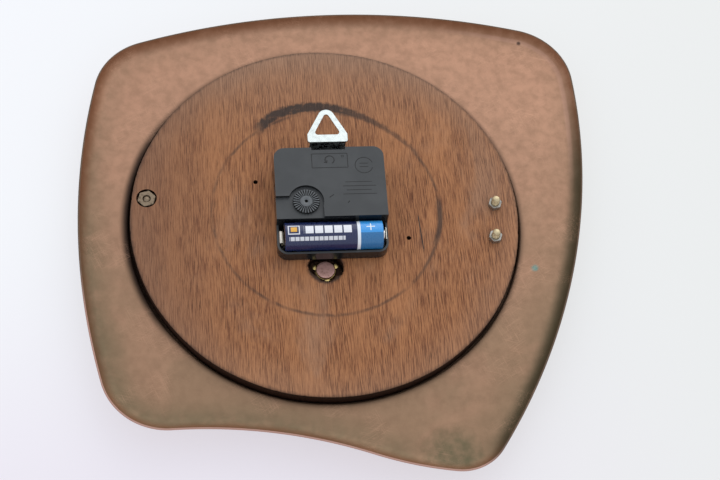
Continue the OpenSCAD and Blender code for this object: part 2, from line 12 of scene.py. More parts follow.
import bmesh
import bpy
import numpy as np
from bpy.props import FloatProperty, FloatVectorProperty, IntProperty, PointerProperty
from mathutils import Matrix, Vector

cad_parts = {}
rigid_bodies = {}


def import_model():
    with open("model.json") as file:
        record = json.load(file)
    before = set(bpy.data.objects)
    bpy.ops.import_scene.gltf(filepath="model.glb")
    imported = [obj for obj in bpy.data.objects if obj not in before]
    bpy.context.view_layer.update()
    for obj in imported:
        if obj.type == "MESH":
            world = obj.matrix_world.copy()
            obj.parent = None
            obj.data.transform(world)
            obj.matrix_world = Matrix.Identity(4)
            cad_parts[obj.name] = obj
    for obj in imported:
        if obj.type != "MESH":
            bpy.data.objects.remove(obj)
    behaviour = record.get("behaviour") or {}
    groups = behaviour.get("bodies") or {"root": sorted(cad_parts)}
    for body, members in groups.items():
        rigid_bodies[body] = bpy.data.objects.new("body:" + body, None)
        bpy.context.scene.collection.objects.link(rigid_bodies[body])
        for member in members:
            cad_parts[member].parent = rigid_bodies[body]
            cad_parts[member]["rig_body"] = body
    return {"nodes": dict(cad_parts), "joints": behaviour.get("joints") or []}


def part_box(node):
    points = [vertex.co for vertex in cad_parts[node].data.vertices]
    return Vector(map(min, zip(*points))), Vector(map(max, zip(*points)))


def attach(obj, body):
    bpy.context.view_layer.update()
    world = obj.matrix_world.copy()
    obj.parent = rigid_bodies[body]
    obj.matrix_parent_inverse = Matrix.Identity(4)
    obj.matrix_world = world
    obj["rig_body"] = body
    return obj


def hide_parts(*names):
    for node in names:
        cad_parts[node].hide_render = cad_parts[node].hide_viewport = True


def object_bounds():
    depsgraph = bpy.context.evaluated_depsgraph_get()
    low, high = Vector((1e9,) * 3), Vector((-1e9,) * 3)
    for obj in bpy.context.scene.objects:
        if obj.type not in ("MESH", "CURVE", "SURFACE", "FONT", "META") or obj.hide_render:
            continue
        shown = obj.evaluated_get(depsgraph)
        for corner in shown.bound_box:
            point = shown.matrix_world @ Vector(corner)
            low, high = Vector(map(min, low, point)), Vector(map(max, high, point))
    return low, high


bl_info = {
    "name": "Copper Wall Clock",
    "version": (1, 0, 0),
    "blender": (4, 5, 0),
    "location": "View3D > Sidebar > Clock",
    "description": "Builds the pieces and finishes of a freeform copper wall clock",
    "category": "Add Mesh",
}

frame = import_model()
CAD_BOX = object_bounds()

AXIS = Vector(next(j["pos_m"] for j in frame["joints"] if j["name"] == "minute_hand_turn"))
WOOD_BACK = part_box("backing_disc")[1].y
TAU = 2 * math.pi
Corner = namedtuple("Corner", "x y z")


def bench_box(node):
    """The lowest and the highest corner of a CAD node, in bench millimetres."""
    lo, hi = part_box(node)
    return (Corner((AXIS.x - hi.x) * 1000, (lo.z - AXIS.z) * 1000, (lo.y - WOOD_BACK) * 1000),
            Corner((AXIS.x - lo.x) * 1000, (hi.z - AXIS.z) * 1000, (hi.y - WOOD_BACK) * 1000))


WOOD_FRONT = bench_box("backing_disc")[0].z
CASE_TOP = bench_box("back_cover")[1].z
DIAL_FRONT = WOOD_FRONT - 1.0
KNOB_C = (-12.8, -2.7)          # middle of the setting knob
CELL_R = 7.25                   # radius of the cell's sleeve
CELL_BUTTON = 1.1               # how far the cell's button stands out
WIRE_PITCH = 0.28               # from turn to turn of the coil
AIM = (14.4, -17.3, 0.0)        # what the camera looks at

# ---- The outline of the plate -----------------------------------------------------------

# Corner circles of the plate (x, y, radius), clockwise from the top left, seen from behind
CORNERS = [(-86, 73, 32.5), (101.5, 75.5, 34), (56, -116.5, 24), (-83, -81, 33)]
TOP_R, RIGHT_R, LEFT_R, SWELL_R, HOLLOW_R = 380, 325, 365, 180, 255
SWELL_ANGLE = math.radians(-98)
DISC_C, DISC_R, RECESS_R = np.array([-2.0, -3.0]), 99.0, 100.0
PLUG_C, PLUG_R = np.array([-3.8, -32.0]), 4.7
SHEET_T, RIM_R, RIM_BEND, PROUD = 1.0, 9.0, 55, 5.0
BEND_IN, BEND_OUT = 0.3, 1.3


def stand(x, y, z):
    """Bench millimetres to the frame's metres: x turned over, y up the clock, z out of its back."""
    x, y, z = np.broadcast_arrays(x, y, z)
    return np.stack([AXIS.x - x / 1000, WOOD_BACK + z / 1000, AXIS.z + y / 1000], -1)


def meet(a, ra, b, rb):
    """The point at ra from a and rb from b, on the right of the line from a to b."""
    v = np.subtract(b, a)
    d = np.hypot(*v)
    u, s = v / d, (ra * ra - rb * rb + d * d) / (2 * d)
    return a + u * s - np.array([-u[1], u[0]]) * math.sqrt(ra * ra - s * s)


def outline_arcs():
    """The outline as arcs, clockwise: (centre, radius, 1 for a bulge or -1 for a hollow). A side
    is the circle of its own radius that touches the two corner circles that it joins."""
    def side(a, b, big, sign):
        ra, rb = big - sign * a[2], big - sign * b[2]
        return meet(a[:2], ra, b[:2], rb) if sign > 0 else meet(b[:2], rb, a[:2], ra)
    tl, tr, br, bl = CORNERS
    swell_c = np.array(br[:2]) + (br[2] - SWELL_R) * np.array([math.cos(SWELL_ANGLE),
                                                               math.sin(SWELL_ANGLE)])
    swell = (*swell_c, SWELL_R)
    arcs = [(tl[:2], tl[2], 1), (side(tl, tr, TOP_R, 1), TOP_R, 1), (tr[:2], tr[2], 1),
            (side(tr, br, RIGHT_R, 1), RIGHT_R, 1), (br[:2], br[2], 1), (swell_c, SWELL_R, 1),
            (side(swell, bl, HOLLOW_R, -1), HOLLOW_R, -1), (bl[:2], bl[2], 1),
            (side(bl, tl, LEFT_R, 1), LEFT_R, 1)]
    return [(np.array(c, float), r, s) for c, r, s in arcs]


def outline(step):
    """Points along the outline about step apart, and the outward normal at each: on every arc the
    angle runs evenly from where it touches the last arc to where it touches the next."""
    arcs = outline_arcs()
    n = len(arcs)

    def touch(a, b):
        v = b[0] - a[0]
        return math.atan2(v[1], v[0]) + (math.pi if a[2] == b[2] and a[1] < b[1] else 0)
    points, normals = [], []
    for i, (c, r, s) in enumerate(arcs):
        start = touch(arcs[i], arcs[(i + s) % n])
        sweep = (touch(arcs[i], arcs[(i - s) % n]) - start) % TAU
        count = max(6, int(r * sweep / step))
        k = (np.arange(count) + 0.5) / count
        t = start + sweep * (1 - k if s > 0 else k)
        d = np.stack([np.cos(t), np.sin(t)], 1)
        points.append(c + r * d)
        normals.append(s * d)
    return np.concatenate(points), np.concatenate(normals)


# ---- Meshes from grids ------------------------------------------------------------------


def ripple(t, seed, waves=9, low=3, high=40):
    """A smooth wobble between about -1 and 1 that repeats every turn of t: sines of whole-number
    frequencies between low and high, with amplitudes that fall as the frequency rises."""
    rng = np.random.default_rng(seed)
    f = rng.integers(low, high, waves)
    p = rng.uniform(0, TAU, waves)
    a = 1 / np.sqrt(f)
    return (np.sin(np.multiply.outer(t, f) + p) * a).sum(-1) / np.abs(a).sum()


def grid_faces(rows, cols, around, along, first=0):
    """The quads between neighbours of a grid of rows by cols points. around closes each row into
    a ring, and along joins the last row to the first."""
    r = np.arange(rows if along else rows - 1)[:, None]
    c = np.arange(cols if around else cols - 1)[None, :]
    r2, c2 = (r + 1) % rows, (c + 1) % cols
    quads = np.stack(np.broadcast_arrays(r * cols + c, r * cols + c2, r2 * cols + c2, r2 * cols + c),
                     -1)
    return quads.reshape(-1, 4) + first


def piece(name, shells, body, replaces=(), smooth=35, fields=None):
    """One object from several grids. Each shell is (points, around, along) with points of shape
    (rows, cols, 3) in metres. Doubles at poles and seams are merged, and faces point outwards."""
    verts, faces, first = [], [], 0
    for points, around, along in shells:
        rows, cols = points.shape[:2]
        verts.append(points.reshape(-1, 3))
        faces.append(grid_faces(rows, cols, around, along, first))
        first += rows * cols
    verts, faces = np.concatenate(verts), np.concatenate(faces)
    mesh = bpy.data.meshes.new(name)
    mesh.from_pydata(verts.tolist(), [], faces.tolist())
    for field, values in (fields or {}).items():
        layer = mesh.attributes.new(field, "FLOAT", "POINT")
        layer.data.foreach_set("value", np.ascontiguousarray(values, np.float32).ravel())
    obj = bpy.data.objects.new(name, mesh)
    bpy.context.scene.collection.objects.link(obj)
    clean(obj, smooth)
    return dress(obj, body, replaces)


def clean(obj, smooth, join=2e-6):
    """Merges doubles, drops faces without area, turns normals outwards and shades smooth with
    sharp edges where two faces meet at more than the given angle."""
    bm = bmesh.new()
    bm.from_mesh(obj.data)
    bmesh.ops.remove_doubles(bm, verts=bm.verts, dist=join)
    bmesh.ops.dissolve_degenerate(bm, edges=bm.edges, dist=join / 2)
    bmesh.ops.recalc_face_normals(bm, faces=bm.faces)
    limit = math.radians(smooth)
    for e in bm.edges:
        e.smooth = len(e.link_faces) == 2 and e.calc_face_angle(0) < limit
    for f in bm.faces:
        f.smooth = True
    bm.to_mesh(obj.data)
    bm.free()


def dress(obj, body, replaces=()):
    """Puts a piece on its body and hides the CAD nodes that it stands for."""
    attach(obj, body)
    if replaces:
        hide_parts(*replaces)
    return obj


def eased(node, width, smooth=30, segments=2):
    """A merged copy of a CAD node with its edges rounded by width millimetres."""
    source = frame["nodes"][node]
    body = source["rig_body"]
    obj = bpy.data.objects.new("eased_" + node, source.data.copy())
    obj.data.materials.clear()
    bpy.context.scene.collection.objects.link(obj)
    clean(obj, smooth)
    m = obj.modifiers.new("eased edges", "BEVEL")
    m.width, m.segments = width / 1000, segments
    m.limit_method, m.angle_limit = "ANGLE", math.radians(smooth)
    m.harden_normals = True
    return dress(obj, body, [node])


def revolve(c, radius, height, turns=72, axis="z", wobble=None):
    """A closed surface of revolution: the profile (radius, height) is turned around an axis
    through c. axis z stands it out of the clock's back and axis x lays it across the clock."""
    t = np.linspace(0, TAU, turns, endpoint=False)[None, :]
    r, h = np.asarray(radius, float)[:, None], np.asarray(height, float)[:, None]
    if wobble is not None:
        r = r + wobble(t, h, r)
    a, b = r * np.cos(t), r * np.sin(t)
    if axis == "x":
        return stand(c[0] + h, c[1] + a, c[2] + b), True, False
    return stand(c[0] + a, c[1] + b, c[2] + h), True, False


def arc(c, r, a0, a1, n):
    """n points on the circle of radius r about c from angle a0 to a1, in degrees."""
    t = np.radians(np.linspace(a0, a1, n))
    return np.stack([c[0] + r * np.cos(t), c[1] + r * np.sin(t)], 1)


def strip(path, thickness, y0, y1, edge=0.12):
    """A bent strip of sheet. The path (x, z) is followed by a rounded rectangle: thickness across
    the path, and from y0 to y1 along the clock."""
    path = np.asarray(path, float)
    tangent = np.gradient(path, axis=0)
    tangent /= np.linalg.norm(tangent, axis=1, keepdims=True)
    normal = np.stack([-tangent[:, 1], tangent[:, 0]], 1)
    h, e = thickness / 2, min(edge, thickness / 2.2)
    corner = [(h - e, y1 - e, 0), (-h + e, y1 - e, 90), (-h + e, y0 + e, 180), (h - e, y0 + e, 270)]
    section = np.concatenate([arc((u, v), e, a, a + 90, 4) for u, v, a in corner])
    middle = (y0 + y1) / 2
    rows = np.concatenate([path[:1], path, path[-1:]])
    sides = np.concatenate([normal[:1], normal, normal[-1:]])
    size = np.ones(len(rows))
    size[0] = size[-1] = 0
    u = size[:, None] * section[None, :, 0]
    y = middle + size[:, None] * (section[None, :, 1] - middle)
    x = rows[:, 0, None] + sides[:, 0, None] * u
    z = rows[:, 1, None] + sides[:, 1, None] * u
    return stand(x, y, z), True, False


def ridge(path, width, height, base):
    """A raised line on a flat back: along the path (x, y) a low rounded section, half a sine
    high, is carried on the level base. Its ends run down to the level."""
    path = np.asarray(path, float)
    tangent = np.gradient(path, axis=0)
    tangent /= np.linalg.norm(tangent, axis=1, keepdims=True) + 1e-9
    normal = np.stack([-tangent[:, 1], tangent[:, 0]], 1)
    s = np.linspace(-1, 1, 7)
    rows = np.concatenate([path[:1], path, path[-1:]])
    sides = np.concatenate([normal[:1], normal, normal[-1:]])
    size = np.ones(len(rows))[:, None]
    size[0] = size[-1] = 0
    across = np.concatenate([s, s[-2:0:-1]]) * width / 2
    up = np.concatenate([np.cos(s * math.pi / 2) * height, np.full(5, -0.05)])
    x = rows[:, 0, None] + sides[:, 0, None] * across * size
    y = rows[:, 1, None] + sides[:, 1, None] * across * size
    return stand(x, y, base + up * size), True, False


# ---- Finishes ---------------------------------------------------------------------------


class Finish:
    """A material while it is being mixed. Each method adds one node and gives back its result."""

    def __init__(self, name, **values):
        self.material = bpy.data.materials.new(name)
        self.material.use_nodes = True
        self.tree = self.material.node_tree
        self.shader = self.tree.nodes["Principled BSDF"]
        for key, value in values.items():
            self.shader.inputs[key.replace("_", " ")].default_value = value
        self.coord = self.node("ShaderNodeTexCoord").outputs["Object"]

    def node(self, kind, **settings):
        n = self.tree.nodes.new(kind)
        for key, value in settings.items():
            setattr(n, key, value)
        return n

    def feed(self, socket, value):
        if isinstance(value, bpy.types.NodeSocket):
            self.tree.links.new(value, socket)
        elif value is not None:
            socket.default_value = value

    def bench(self, scale=(1, 1, 1), turn=0.0, centre=(0, 0)):
        """Bench millimetres (x, z, y) about a centre, turned in the clock's plane, then scaled."""
        m = self.node("ShaderNodeMapping")
        m.inputs["Scale"].default_value = (-1000, 1000, 1000)
        m.inputs["Location"].default_value = (1000 * AXIS.x - centre[0], -1000 * WOOD_BACK,
                                              -1000 * AXIS.z - centre[1])
        self.feed(m.inputs["Vector"], self.coord)
        n = self.node("ShaderNodeMapping")
        n.inputs["Scale"].default_value = scale
        n.inputs["Rotation"].default_value = (0, math.radians(turn), 0)
        self.feed(n.inputs["Vector"], m.outputs[0])
        if turn == 0:
            return n.outputs[0]
        n.inputs["Scale"].default_value = (1, 1, 1)
        k = self.node("ShaderNodeMapping")
        k.inputs["Scale"].default_value = scale
        self.feed(k.inputs["Vector"], n.outputs[0])
        return k.outputs[0]

    def split(self, vector):
        s = self.node("ShaderNodeSeparateXYZ")
        self.feed(s.inputs[0], vector)
        return s.outputs[0], s.outputs[1], s.outputs[2]

    def join(self, x, y, z):
        s = self.node("ShaderNodeCombineXYZ")
        for socket, value in zip(s.inputs, (x, y, z)):
            self.feed(socket, value)
        return s.outputs[0]

    def sum(self, op, a, b=None, clamp=False):
        n = self.node("ShaderNodeMath", operation=op, use_clamp=clamp)
        for socket, value in zip(n.inputs, (a, b)):
            self.feed(socket, value)
        return n.outputs[0]

    def add(self, a, b):
        return self.sum("ADD", a, b)

    def sub(self, a, b):
        return self.sum("SUBTRACT", a, b)

    def mul(self, a, b):
        return self.sum("MULTIPLY", a, b)

    def most(self, a, b):
        return self.sum("MAXIMUM", a, b)

    def noise(self, at, scale=1.0, detail=3.0, rough=0.5, warp=0.0):
        n = self.node("ShaderNodeTexNoise")
        self.feed(n.inputs["Vector"], at)
        for key, value in (("Scale", scale), ("Detail", detail), ("Roughness", rough),
                           ("Distortion", warp)):
            n.inputs[key].default_value = value
        return n.outputs["Fac"]

    def fade(self, value, low, high, a=0.0, b=1.0):
        """a below low, b above high, and a smooth slope between."""
        n = self.node("ShaderNodeMapRange", interpolation_type="SMOOTHSTEP")
        for key, v in (("From Min", low), ("From Max", high), ("To Min", a), ("To Max", b)):
            n.inputs[key].default_value = v
        self.feed(n.inputs["Value"], value)
        return n.outputs["Result"]

    def band(self, value, middle, width, soft):
        """1 within width of the middle, falling to 0 over soft."""
        off = self.sum("ABSOLUTE", self.sub(value, middle))
        return self.fade(off, width, width + soft, 1, 0)

    def mix(self, amount, a, b):
        n = self.node("ShaderNodeMix", data_type="RGBA")
        self.feed(n.inputs[0], amount)
        for socket, value in ((n.inputs[6], a), (n.inputs[7], b)):
            self.feed(socket, tuple(value) if isinstance(value, (tuple, list)) else value)
        return n.outputs[2]

    def distance(self, at, point):
        n = self.node("ShaderNodeVectorMath", operation="DISTANCE")
        self.feed(n.inputs[0], at)
        n.inputs[1].default_value = point
        return n.outputs["Value"]

    def field(self, name):
        return self.node("ShaderNodeAttribute", attribute_name=name).outputs["Fac"]

    def bump(self, height, millimetres, normal=None):
        n = self.node("ShaderNodeBump")
        n.inputs["Strength"].default_value = 1
        n.inputs["Distance"].default_value = millimetres / 1000
        self.feed(n.inputs["Height"], height)
        self.feed(n.inputs["Normal"], normal)
        return n.outputs[0]

    def done(self, colour=None, rough=None, normal=None, metal=None):
        for key, value in (("Base Color", colour), ("Roughness", rough), ("Normal", normal),
                           ("Metallic", metal)):
            if value is not None:
                self.feed(self.shader.inputs[key], value)
        return self.material


def wear(*objs, material):
    """Gives pieces, or CAD nodes by name, one finish."""
    for o in objs:
        o = frame["nodes"][o] if isinstance(o, str) else o
        if o.data.materials:
            for i in range(len(o.data.materials)):
                o.data.materials[i] = material
        else:
            o.data.materials.append(material)


def rgb(colour, k=1.0):
    """A colour made k times as bright, ready for a node."""
    return tuple(c * k for c in colour[:3]) + (1,)


def copper_sheet(s):
    """Old brown copper: soft mottling, a green bloom near the rim, small scratches and spots. Painted
    light and shade: lighter towards the top, painted highlights at the upper right of the rim and on
    the cut edge along the bottom, and painted shade round the wood and along the rim.
    """
    m = Finish("aged copper sheet", IOR=1.4)
    at = m.bench()
    x, z, y = m.split(at)
    edge = m.field("from_edge")
    wall = m.field("wall")
    mottle = m.noise(at, 0.022, 4, 0.55, 0.6)
    fine = m.noise(at, 0.18, 5, 0.6)
    # The copper is painted lighter towards the top: painted light falling from above.
    painted_top_light = m.fade(m.add(y, m.mul(mottle, 60)), -70, 110)
    colour = m.mix(painted_top_light, rgb(s.copper_low), rgb(s.copper_high))
    colour = m.mix(m.fade(mottle, 0.42, 0.62, 0, 0.3), colour, rgb(s.copper_high, 1.08))
    colour = m.mix(m.fade(fine, 0.35, 0.7, 0.0, 0.3), colour, rgb(s.copper_low, 0.82))
    # Green bloom along the rim, strongest low down and at the left
    cloud = m.noise(at, 0.05, 5, 0.65, 0.4)
    side = m.fade(m.add(x, y), -190, 60, 1, 0.25)
    bloom = m.mul(m.fade(m.add(edge, m.mul(cloud, 22)), 12, 34, 1, 0), side)
    bloom = m.mul(bloom, m.fade(cloud, 0.35, 0.6, 0.35, 1))
    corner = m.fade(m.add(m.distance(at, (52, -5, -137)), m.mul(cloud, 18)), 13, 32, 0.85, 0)
    bloom = m.most(m.mul(bloom, 0.6), m.mul(corner, m.fade(fine, 0.25, 0.7, 0.4, 1)))
    colour = m.mix(bloom, colour, rgb(s.bloom))
    # Painted shade in the gap round the wood, strongest at the left, and tarnished copper on the recess
    # floor under the wood
    ring = m.distance(at, (DISC_C[0], -7, DISC_C[1]))
    off = m.sub(ring, m.fade(x, -98, -75, 1.5, 0))
    gap = m.fade(m.add(off, m.mul(fine, 1.5)), RECESS_R + 0.4, RECESS_R + 4.5, 1, 0)
    inside = m.fade(ring, RECESS_R - 2.5, RECESS_R - 1.5, 1, 0)
    colour = m.mix(m.mul(gap, m.fade(x, -98, -75, 1, 0.75)), colour, rgb(s.gap_shade_and_tarnish, 0.3))
    colour = m.mix(inside, colour,
                   m.mix(m.fade(mottle, 0.35, 0.65), rgb(s.gap_shade_and_tarnish, 0.8), rgb(s.gap_shade_and_tarnish, 1.5)))
    # Painted shade in dark orange-brown up the inside of the turned-up rim.
    colour = m.mix(m.mul(wall, m.fade(fine, 0.3, 0.6, 0.45, 0.75)), colour, rgb(s.rim_shade))
    # Painted shade in a dark green-grey on the last few millimetres of the rim: strongest down the
    # right below the middle, lighter elsewhere below the top, faint along the bottom
    right = m.fade(m.add(x, m.mul(y, -0.1)), 78, 92)
    low = m.mul(m.most(m.fade(y, -96, -78, 0.1, 0.4), right), m.fade(y, 10, 90, 0.85, 0))
    colour = m.mix(m.mul(low, m.fade(edge, 2, 9, 1, 0)), colour, rgb(s.bloom, 0.42))
    # Painted shade in a dark orange-brown band along the top and upper left of the rim, where the sheet
    # curls away.
    high = m.mul(m.fade(m.add(y, m.mul(x, -0.3)), 20, 70, 0, 0.85), m.fade(edge, 0.5, 8, 1, 0))
    colour = m.mix(m.mul(high, m.fade(fine, 0.3, 0.6, 0.8, 1)), colour, rgb(s.rim_shade, 0.75))
    # A painted pink highlight in a band 5.5 mm in from the rim at the upper right.
    sheen = m.mul(m.band(edge, 5.5, 0.5, 1.3), m.fade(x, 60, 105, 0, 0.35))
    colour = m.mix(m.mul(sheen, m.fade(y, 0, 60)), colour, (0.56, 0.33, 0.25, 1))
    # The cut edge of the sheet: a painted pink highlight along the bottom and painted shade elsewhere.
    cut = m.mix(m.most(m.fade(y, -60, -20), right), (0.50, 0.30, 0.25, 1), (0.15, 0.10, 0.07, 1))
    colour = m.mix(m.fade(edge, -0.6, -0.1, 1, 0), colour, cut)
    # One turquoise spot and one dark one
    spot = m.fade(m.add(m.distance(at, (103.6, -5, -33.4)), m.mul(fine, 3)), 2.2, 4.2, 0.8, 0)
    colour = m.mix(spot, colour, (0.12, 0.32, 0.30, 1))
    dark = m.fade(m.distance(at, (110.5, -5, 102.9)), 0.5, 1.6, 0.85, 0)
    colour = m.mix(dark, colour, (0.03, 0.02, 0.018, 1))
    # Long fine scratches in three directions
    lines = []
    for turn, seed in ((24, 0.0), (-58, 7.0), (75, 3.0)):
        run = m.noise(m.bench((0.9, 1, 0.02), turn, (seed * 31, seed * 17)), 1.0, 2, 0.5)
        lines.append(m.band(run, 0.5, 0.004, 0.012))
    scratch = m.mul(m.most(m.most(lines[0], lines[1]), lines[2]),
                    m.fade(m.noise(at, 0.04, 2), 0.5, 0.62))
    scratch = m.mul(scratch, m.sub(1, m.mul(inside, 0.9)))
    colour = m.mix(m.mul(scratch, 0.2), colour, rgb(s.copper_high, 1.35))
    rough = m.fade(m.add(m.mul(fine, 0.6), m.mul(mottle, 0.4)), 0.3, 0.7, 0.46, 0.62)
    rough = m.add(rough, m.mul(bloom, 0.15))
    rough = m.sub(rough, m.mul(scratch, 0.1))
    dents = m.add(m.noise(at, 0.06, 3, 0.5), m.mul(fine, 0.12))
    normal = m.bump(dents, 0.35)
    normal = m.bump(m.add(m.noise(at, 2.2, 3), m.mul(scratch, -0.6)), 0.03, normal)
    return m.done(colour, rough, normal, m.sub(0.72, m.mul(bloom, 0.4)))


def teak(s):
    """Teak veneer on ply: upright grain with short dark pores, a stained ring, grey weathered
    patches, and dark cut edges."""
    m = Finish("teak plywood", Specular_IOR_Level=0.3)
    at = m.bench()
    x, z, y = m.split(at)
    flat = m.join(x, 0.0, y)
    bend = m.noise(m.bench((0.02, 0.02, 0.008)), 1, 2, 0.5)
    gx = m.add(x, m.mul(bend, 9))

    def streaks(across, along, detail, rough=0.6):
        """Noise stretched along the grain: features 1/across wide and 1/along long."""
        place = m.join(m.mul(gx, across), m.mul(z, 0.4), m.mul(y, along))
        return m.noise(place, 1.0, detail, rough)
    fine, grain, broad = streaks(1.9, 0.085, 3, 0.7), streaks(0.4, 0.03, 4, 0.7), streaks(0.05, 0.014,
                                                                                          4)
    pores = m.fade(streaks(2.6, 0.09, 2, 0.6), 0.57, 0.7)
    colour = m.mix(m.fade(fine, 0.38, 0.58), rgb(s.wood_dark), rgb(s.wood_light))
    colour = m.mix(m.fade(grain, 0.35, 0.68, 0.2, 0), colour, rgb(s.wood_dark, 0.9))
    colour = m.mix(m.fade(broad, 0.45, 0.65, 0, 0.5), colour, rgb(s.wood_light, 1.15))
    colour = m.mix(m.mul(pores, m.fade(broad, 0.35, 0.65, 0.85, 0.5)), colour, rgb(s.wood_dark, 0.35))
    # Grey weathering, in patches, at the top and towards the edge
    r = m.distance(flat, (DISC_C[0], 0, DISC_C[1]))
    cloud = m.noise(m.bench((0.02, 0.02, 0.013)), 1, 5, 0.6, 0.5)
    weather = m.most(m.fade(cloud, 0.52, 0.72, 0, 0.55),
                    m.fade(m.add(r, m.mul(cloud, 26)), 92, 112, 0, 0.35))
    weather = m.sum("ADD", weather, m.fade(y, 30, 100, 0, 0.55), clamp=True)
    colour = m.mix(weather, colour,
                   m.mix(m.fade(fine, 0.3, 0.7), rgb(s.wood_grey, 0.8), rgb(s.wood_grey, 1.25)))
    colour = m.mix(m.fade(m.add(x, m.mul(cloud, 30)), -85, -20, 0.6, 0), colour,
                   m.mix(fine, rgb(s.wood_dark, 0.9), rgb(s.wood_grey, 0.75)))
    # The ring that an old collar left: thin and broken, with a wide dark stretch at the right
    ring_r, angle = m.distance(flat, (-1.5, 0, -0.3)), m.sum("ARCTAN2", y, x)
    blotch = m.noise(at, 0.07, 5, 0.65, 0.6)
    ragged = m.noise(at, 0.35, 4, 0.65)
    ring_r = m.add(ring_r, m.mul(blotch, 2))
    ring = m.mul(m.band(ring_r, 59.4, 0.1, 1.3), m.fade(blotch, 0.36, 0.62, 0.12, 0.6))
    wide = m.mul(m.band(ring_r, 59.2, 0.6, 1.5), m.band(angle, -0.14, 0.12, 0.22))
    # A dark smear above the movement: a band whose middle drifts out towards the left
    drift = m.add(m.fade(angle, 0.9, 1.85, 57.6, 62.6), m.fade(angle, 1.95, 2.3, 0, -3.6))
    half = m.add(m.fade(angle, 0.75, 1.7, -1.1, 0.8), m.mul(ragged, 3.8))
    off = m.sum("ABSOLUTE", m.sub(m.distance(flat, (0, 0, 0)), drift))
    smear = m.fade(m.sub(off, half), -0.9, 1.2, 1, 0)
    smear = m.mul(smear, m.band(angle, 1.38, 0.72, 0.16))
    smear = m.mul(smear, m.mul(m.fade(ragged, 0.25, 0.5, 0.55, 0.95), m.fade(angle, 0.8, 1.6, 0.6, 1)))
    line = m.sub(x, m.mul(y, -0.065))
    nick = m.mul(m.band(line, 44.9, 0.12, 0.35), m.band(y, -13.9, 8.5, 2.5))
    stain = m.most(m.most(ring, m.mul(wide, 0.8)), m.most(smear, nick))
    colour = m.mix(stain, colour, rgb(s.stain))
    # Dirt round the hole and along the edge
    away = m.distance(flat, (PLUG_C[0], 0, PLUG_C[1]))
    dirt = m.fade(m.sub(away, m.mul(ragged, 3)), 6.5, 8.5, 0.9, 0)
    rim = m.fade(m.sub(r, m.mul(ragged, 3)), 95.5, 98, 0, 0.6)
    colour = m.mix(m.most(dirt, rim), colour, rgb(s.stain, 0.7))
    # Cut edges are dark, with the layers of the ply just showing
    facing = m.split(m.node("ShaderNodeNewGeometry").outputs["True Normal"])[1]
    cut = m.fade(m.sum("ABSOLUTE", facing), 0.3, 0.75, 1, 0)
    layer = m.sum("FRACT", m.sum("DIVIDE", m.sub(z, WOOD_FRONT), 3.0))
    ply = m.mix(m.band(layer, 0.5, 0.22, 0.06), rgb(s.wood_dark, 0.16), rgb(s.wood_dark, 0.08))
    ply = m.mix(m.fade(m.noise(m.bench((1, 1.5, 1)), 1.4, 3), 0.5, 0.75), ply, rgb(s.wood_dark, 0.3))
    colour = m.mix(cut, colour, ply)
    height = m.sub(m.mul(fine, 0.5), m.mul(pores, 0.8))
    return m.done(colour, m.fade(fine, 0.3, 0.7, 0.68, 0.55), m.bump(height, 0.12))


def moulded(name, colour, rough, grain_mm=0.35, depth=0.012, gloss=0.5):
    """Moulded plastic with a fine spark-eroded skin, handled a little smoother in places, and painted
    shade on its upright faces.
    """
    m = Finish(name, Specular_IOR_Level=gloss)
    at = m.bench()
    skin = m.noise(at, 1 / grain_mm, 3, 0.6)
    touch = m.noise(at, 0.09, 4, 0.6, 0.3)
    c = m.mix(m.fade(touch, 0.35, 0.7, 0, 0.5), rgb(colour), rgb(colour, 1.25))
    c = m.mix(m.fade(m.noise(at, 1.3, 4, 0.7), 0.62, 0.8, 0, 0.25), c, (0.22, 0.21, 0.19, 1))
    # Faces that stand upright are painted much darker, as painted shade, and made glossier.
    upright = m.fade(m.sum("ABSOLUTE",
                           m.split(m.node("ShaderNodeNewGeometry").outputs["True Normal"])[1]), 0.1,
                           0.75, 1, 0)
    c = m.mix(upright, c, rgb(colour, 0.3))
    r = m.add(m.fade(touch, 0.3, 0.7, rough + 0.05, rough - 0.07), m.mul(skin, 0.06))
    r = m.sub(r, m.mul(upright, rough - 0.2))
    return m.done(c, r, m.bump(skin, depth))


def knob_skin(s):
    """The knob's plastic, with painted shade down between its ribs."""
    m = Finish("ribbed knob plastic")
    at = m.bench()
    x, z, y = m.split(at)
    # Painted shade: everything more than about 0.35 mm under the knob's top, the grooves and what lies
    # under the knob, goes almost black.
    deep = m.fade(z, CASE_TOP - 0.45, CASE_TOP - 0.13, 1, 0)
    fine = m.noise(at, 1.2, 4, 0.6)
    c = m.mix(m.fade(fine, 0.35, 0.7, 0, 0.6), rgb(s.case, 2.4), rgb(s.case, 3.4))
    c = m.mix(deep, c, rgb(s.case, 0.04))
    return m.done(c, m.fade(fine, 0.3, 0.7, 0.5, 0.36), m.bump(fine, 0.01))


def metal(name, colour, rough, stain=(0.1, 0.08, 0.06), amount=0.4, brush=0.0, scale=0.6):
    """Plain metal with finger-worn brightness, stains in its hollows and an optional brushed lay."""
    m = Finish(name, Metallic=1.0)
    at = m.bench()
    spots = m.noise(at, scale, 5, 0.65, 0.3)
    fine = m.noise(at, scale * 6, 4, 0.6)
    c = m.mix(m.fade(fine, 0.35, 0.7, 0, 0.3), rgb(colour), rgb(colour, 1.2))
    c = m.mix(m.fade(spots, 0.5, 0.72, 0, amount), c, tuple(stain) + (1,))
    lay = m.noise(m.bench((6, 6, 0.25)), 1, 3, 0.6) if brush else fine
    r = m.add(m.fade(spots, 0.4, 0.75, rough, rough + 0.22), m.mul(lay, brush or 0.05))
    return m.done(c, r, m.bump(m.add(lay, m.mul(fine, 0.5)), 0.012), m.fade(spots, 0.55, 0.8, 1, 0.8))


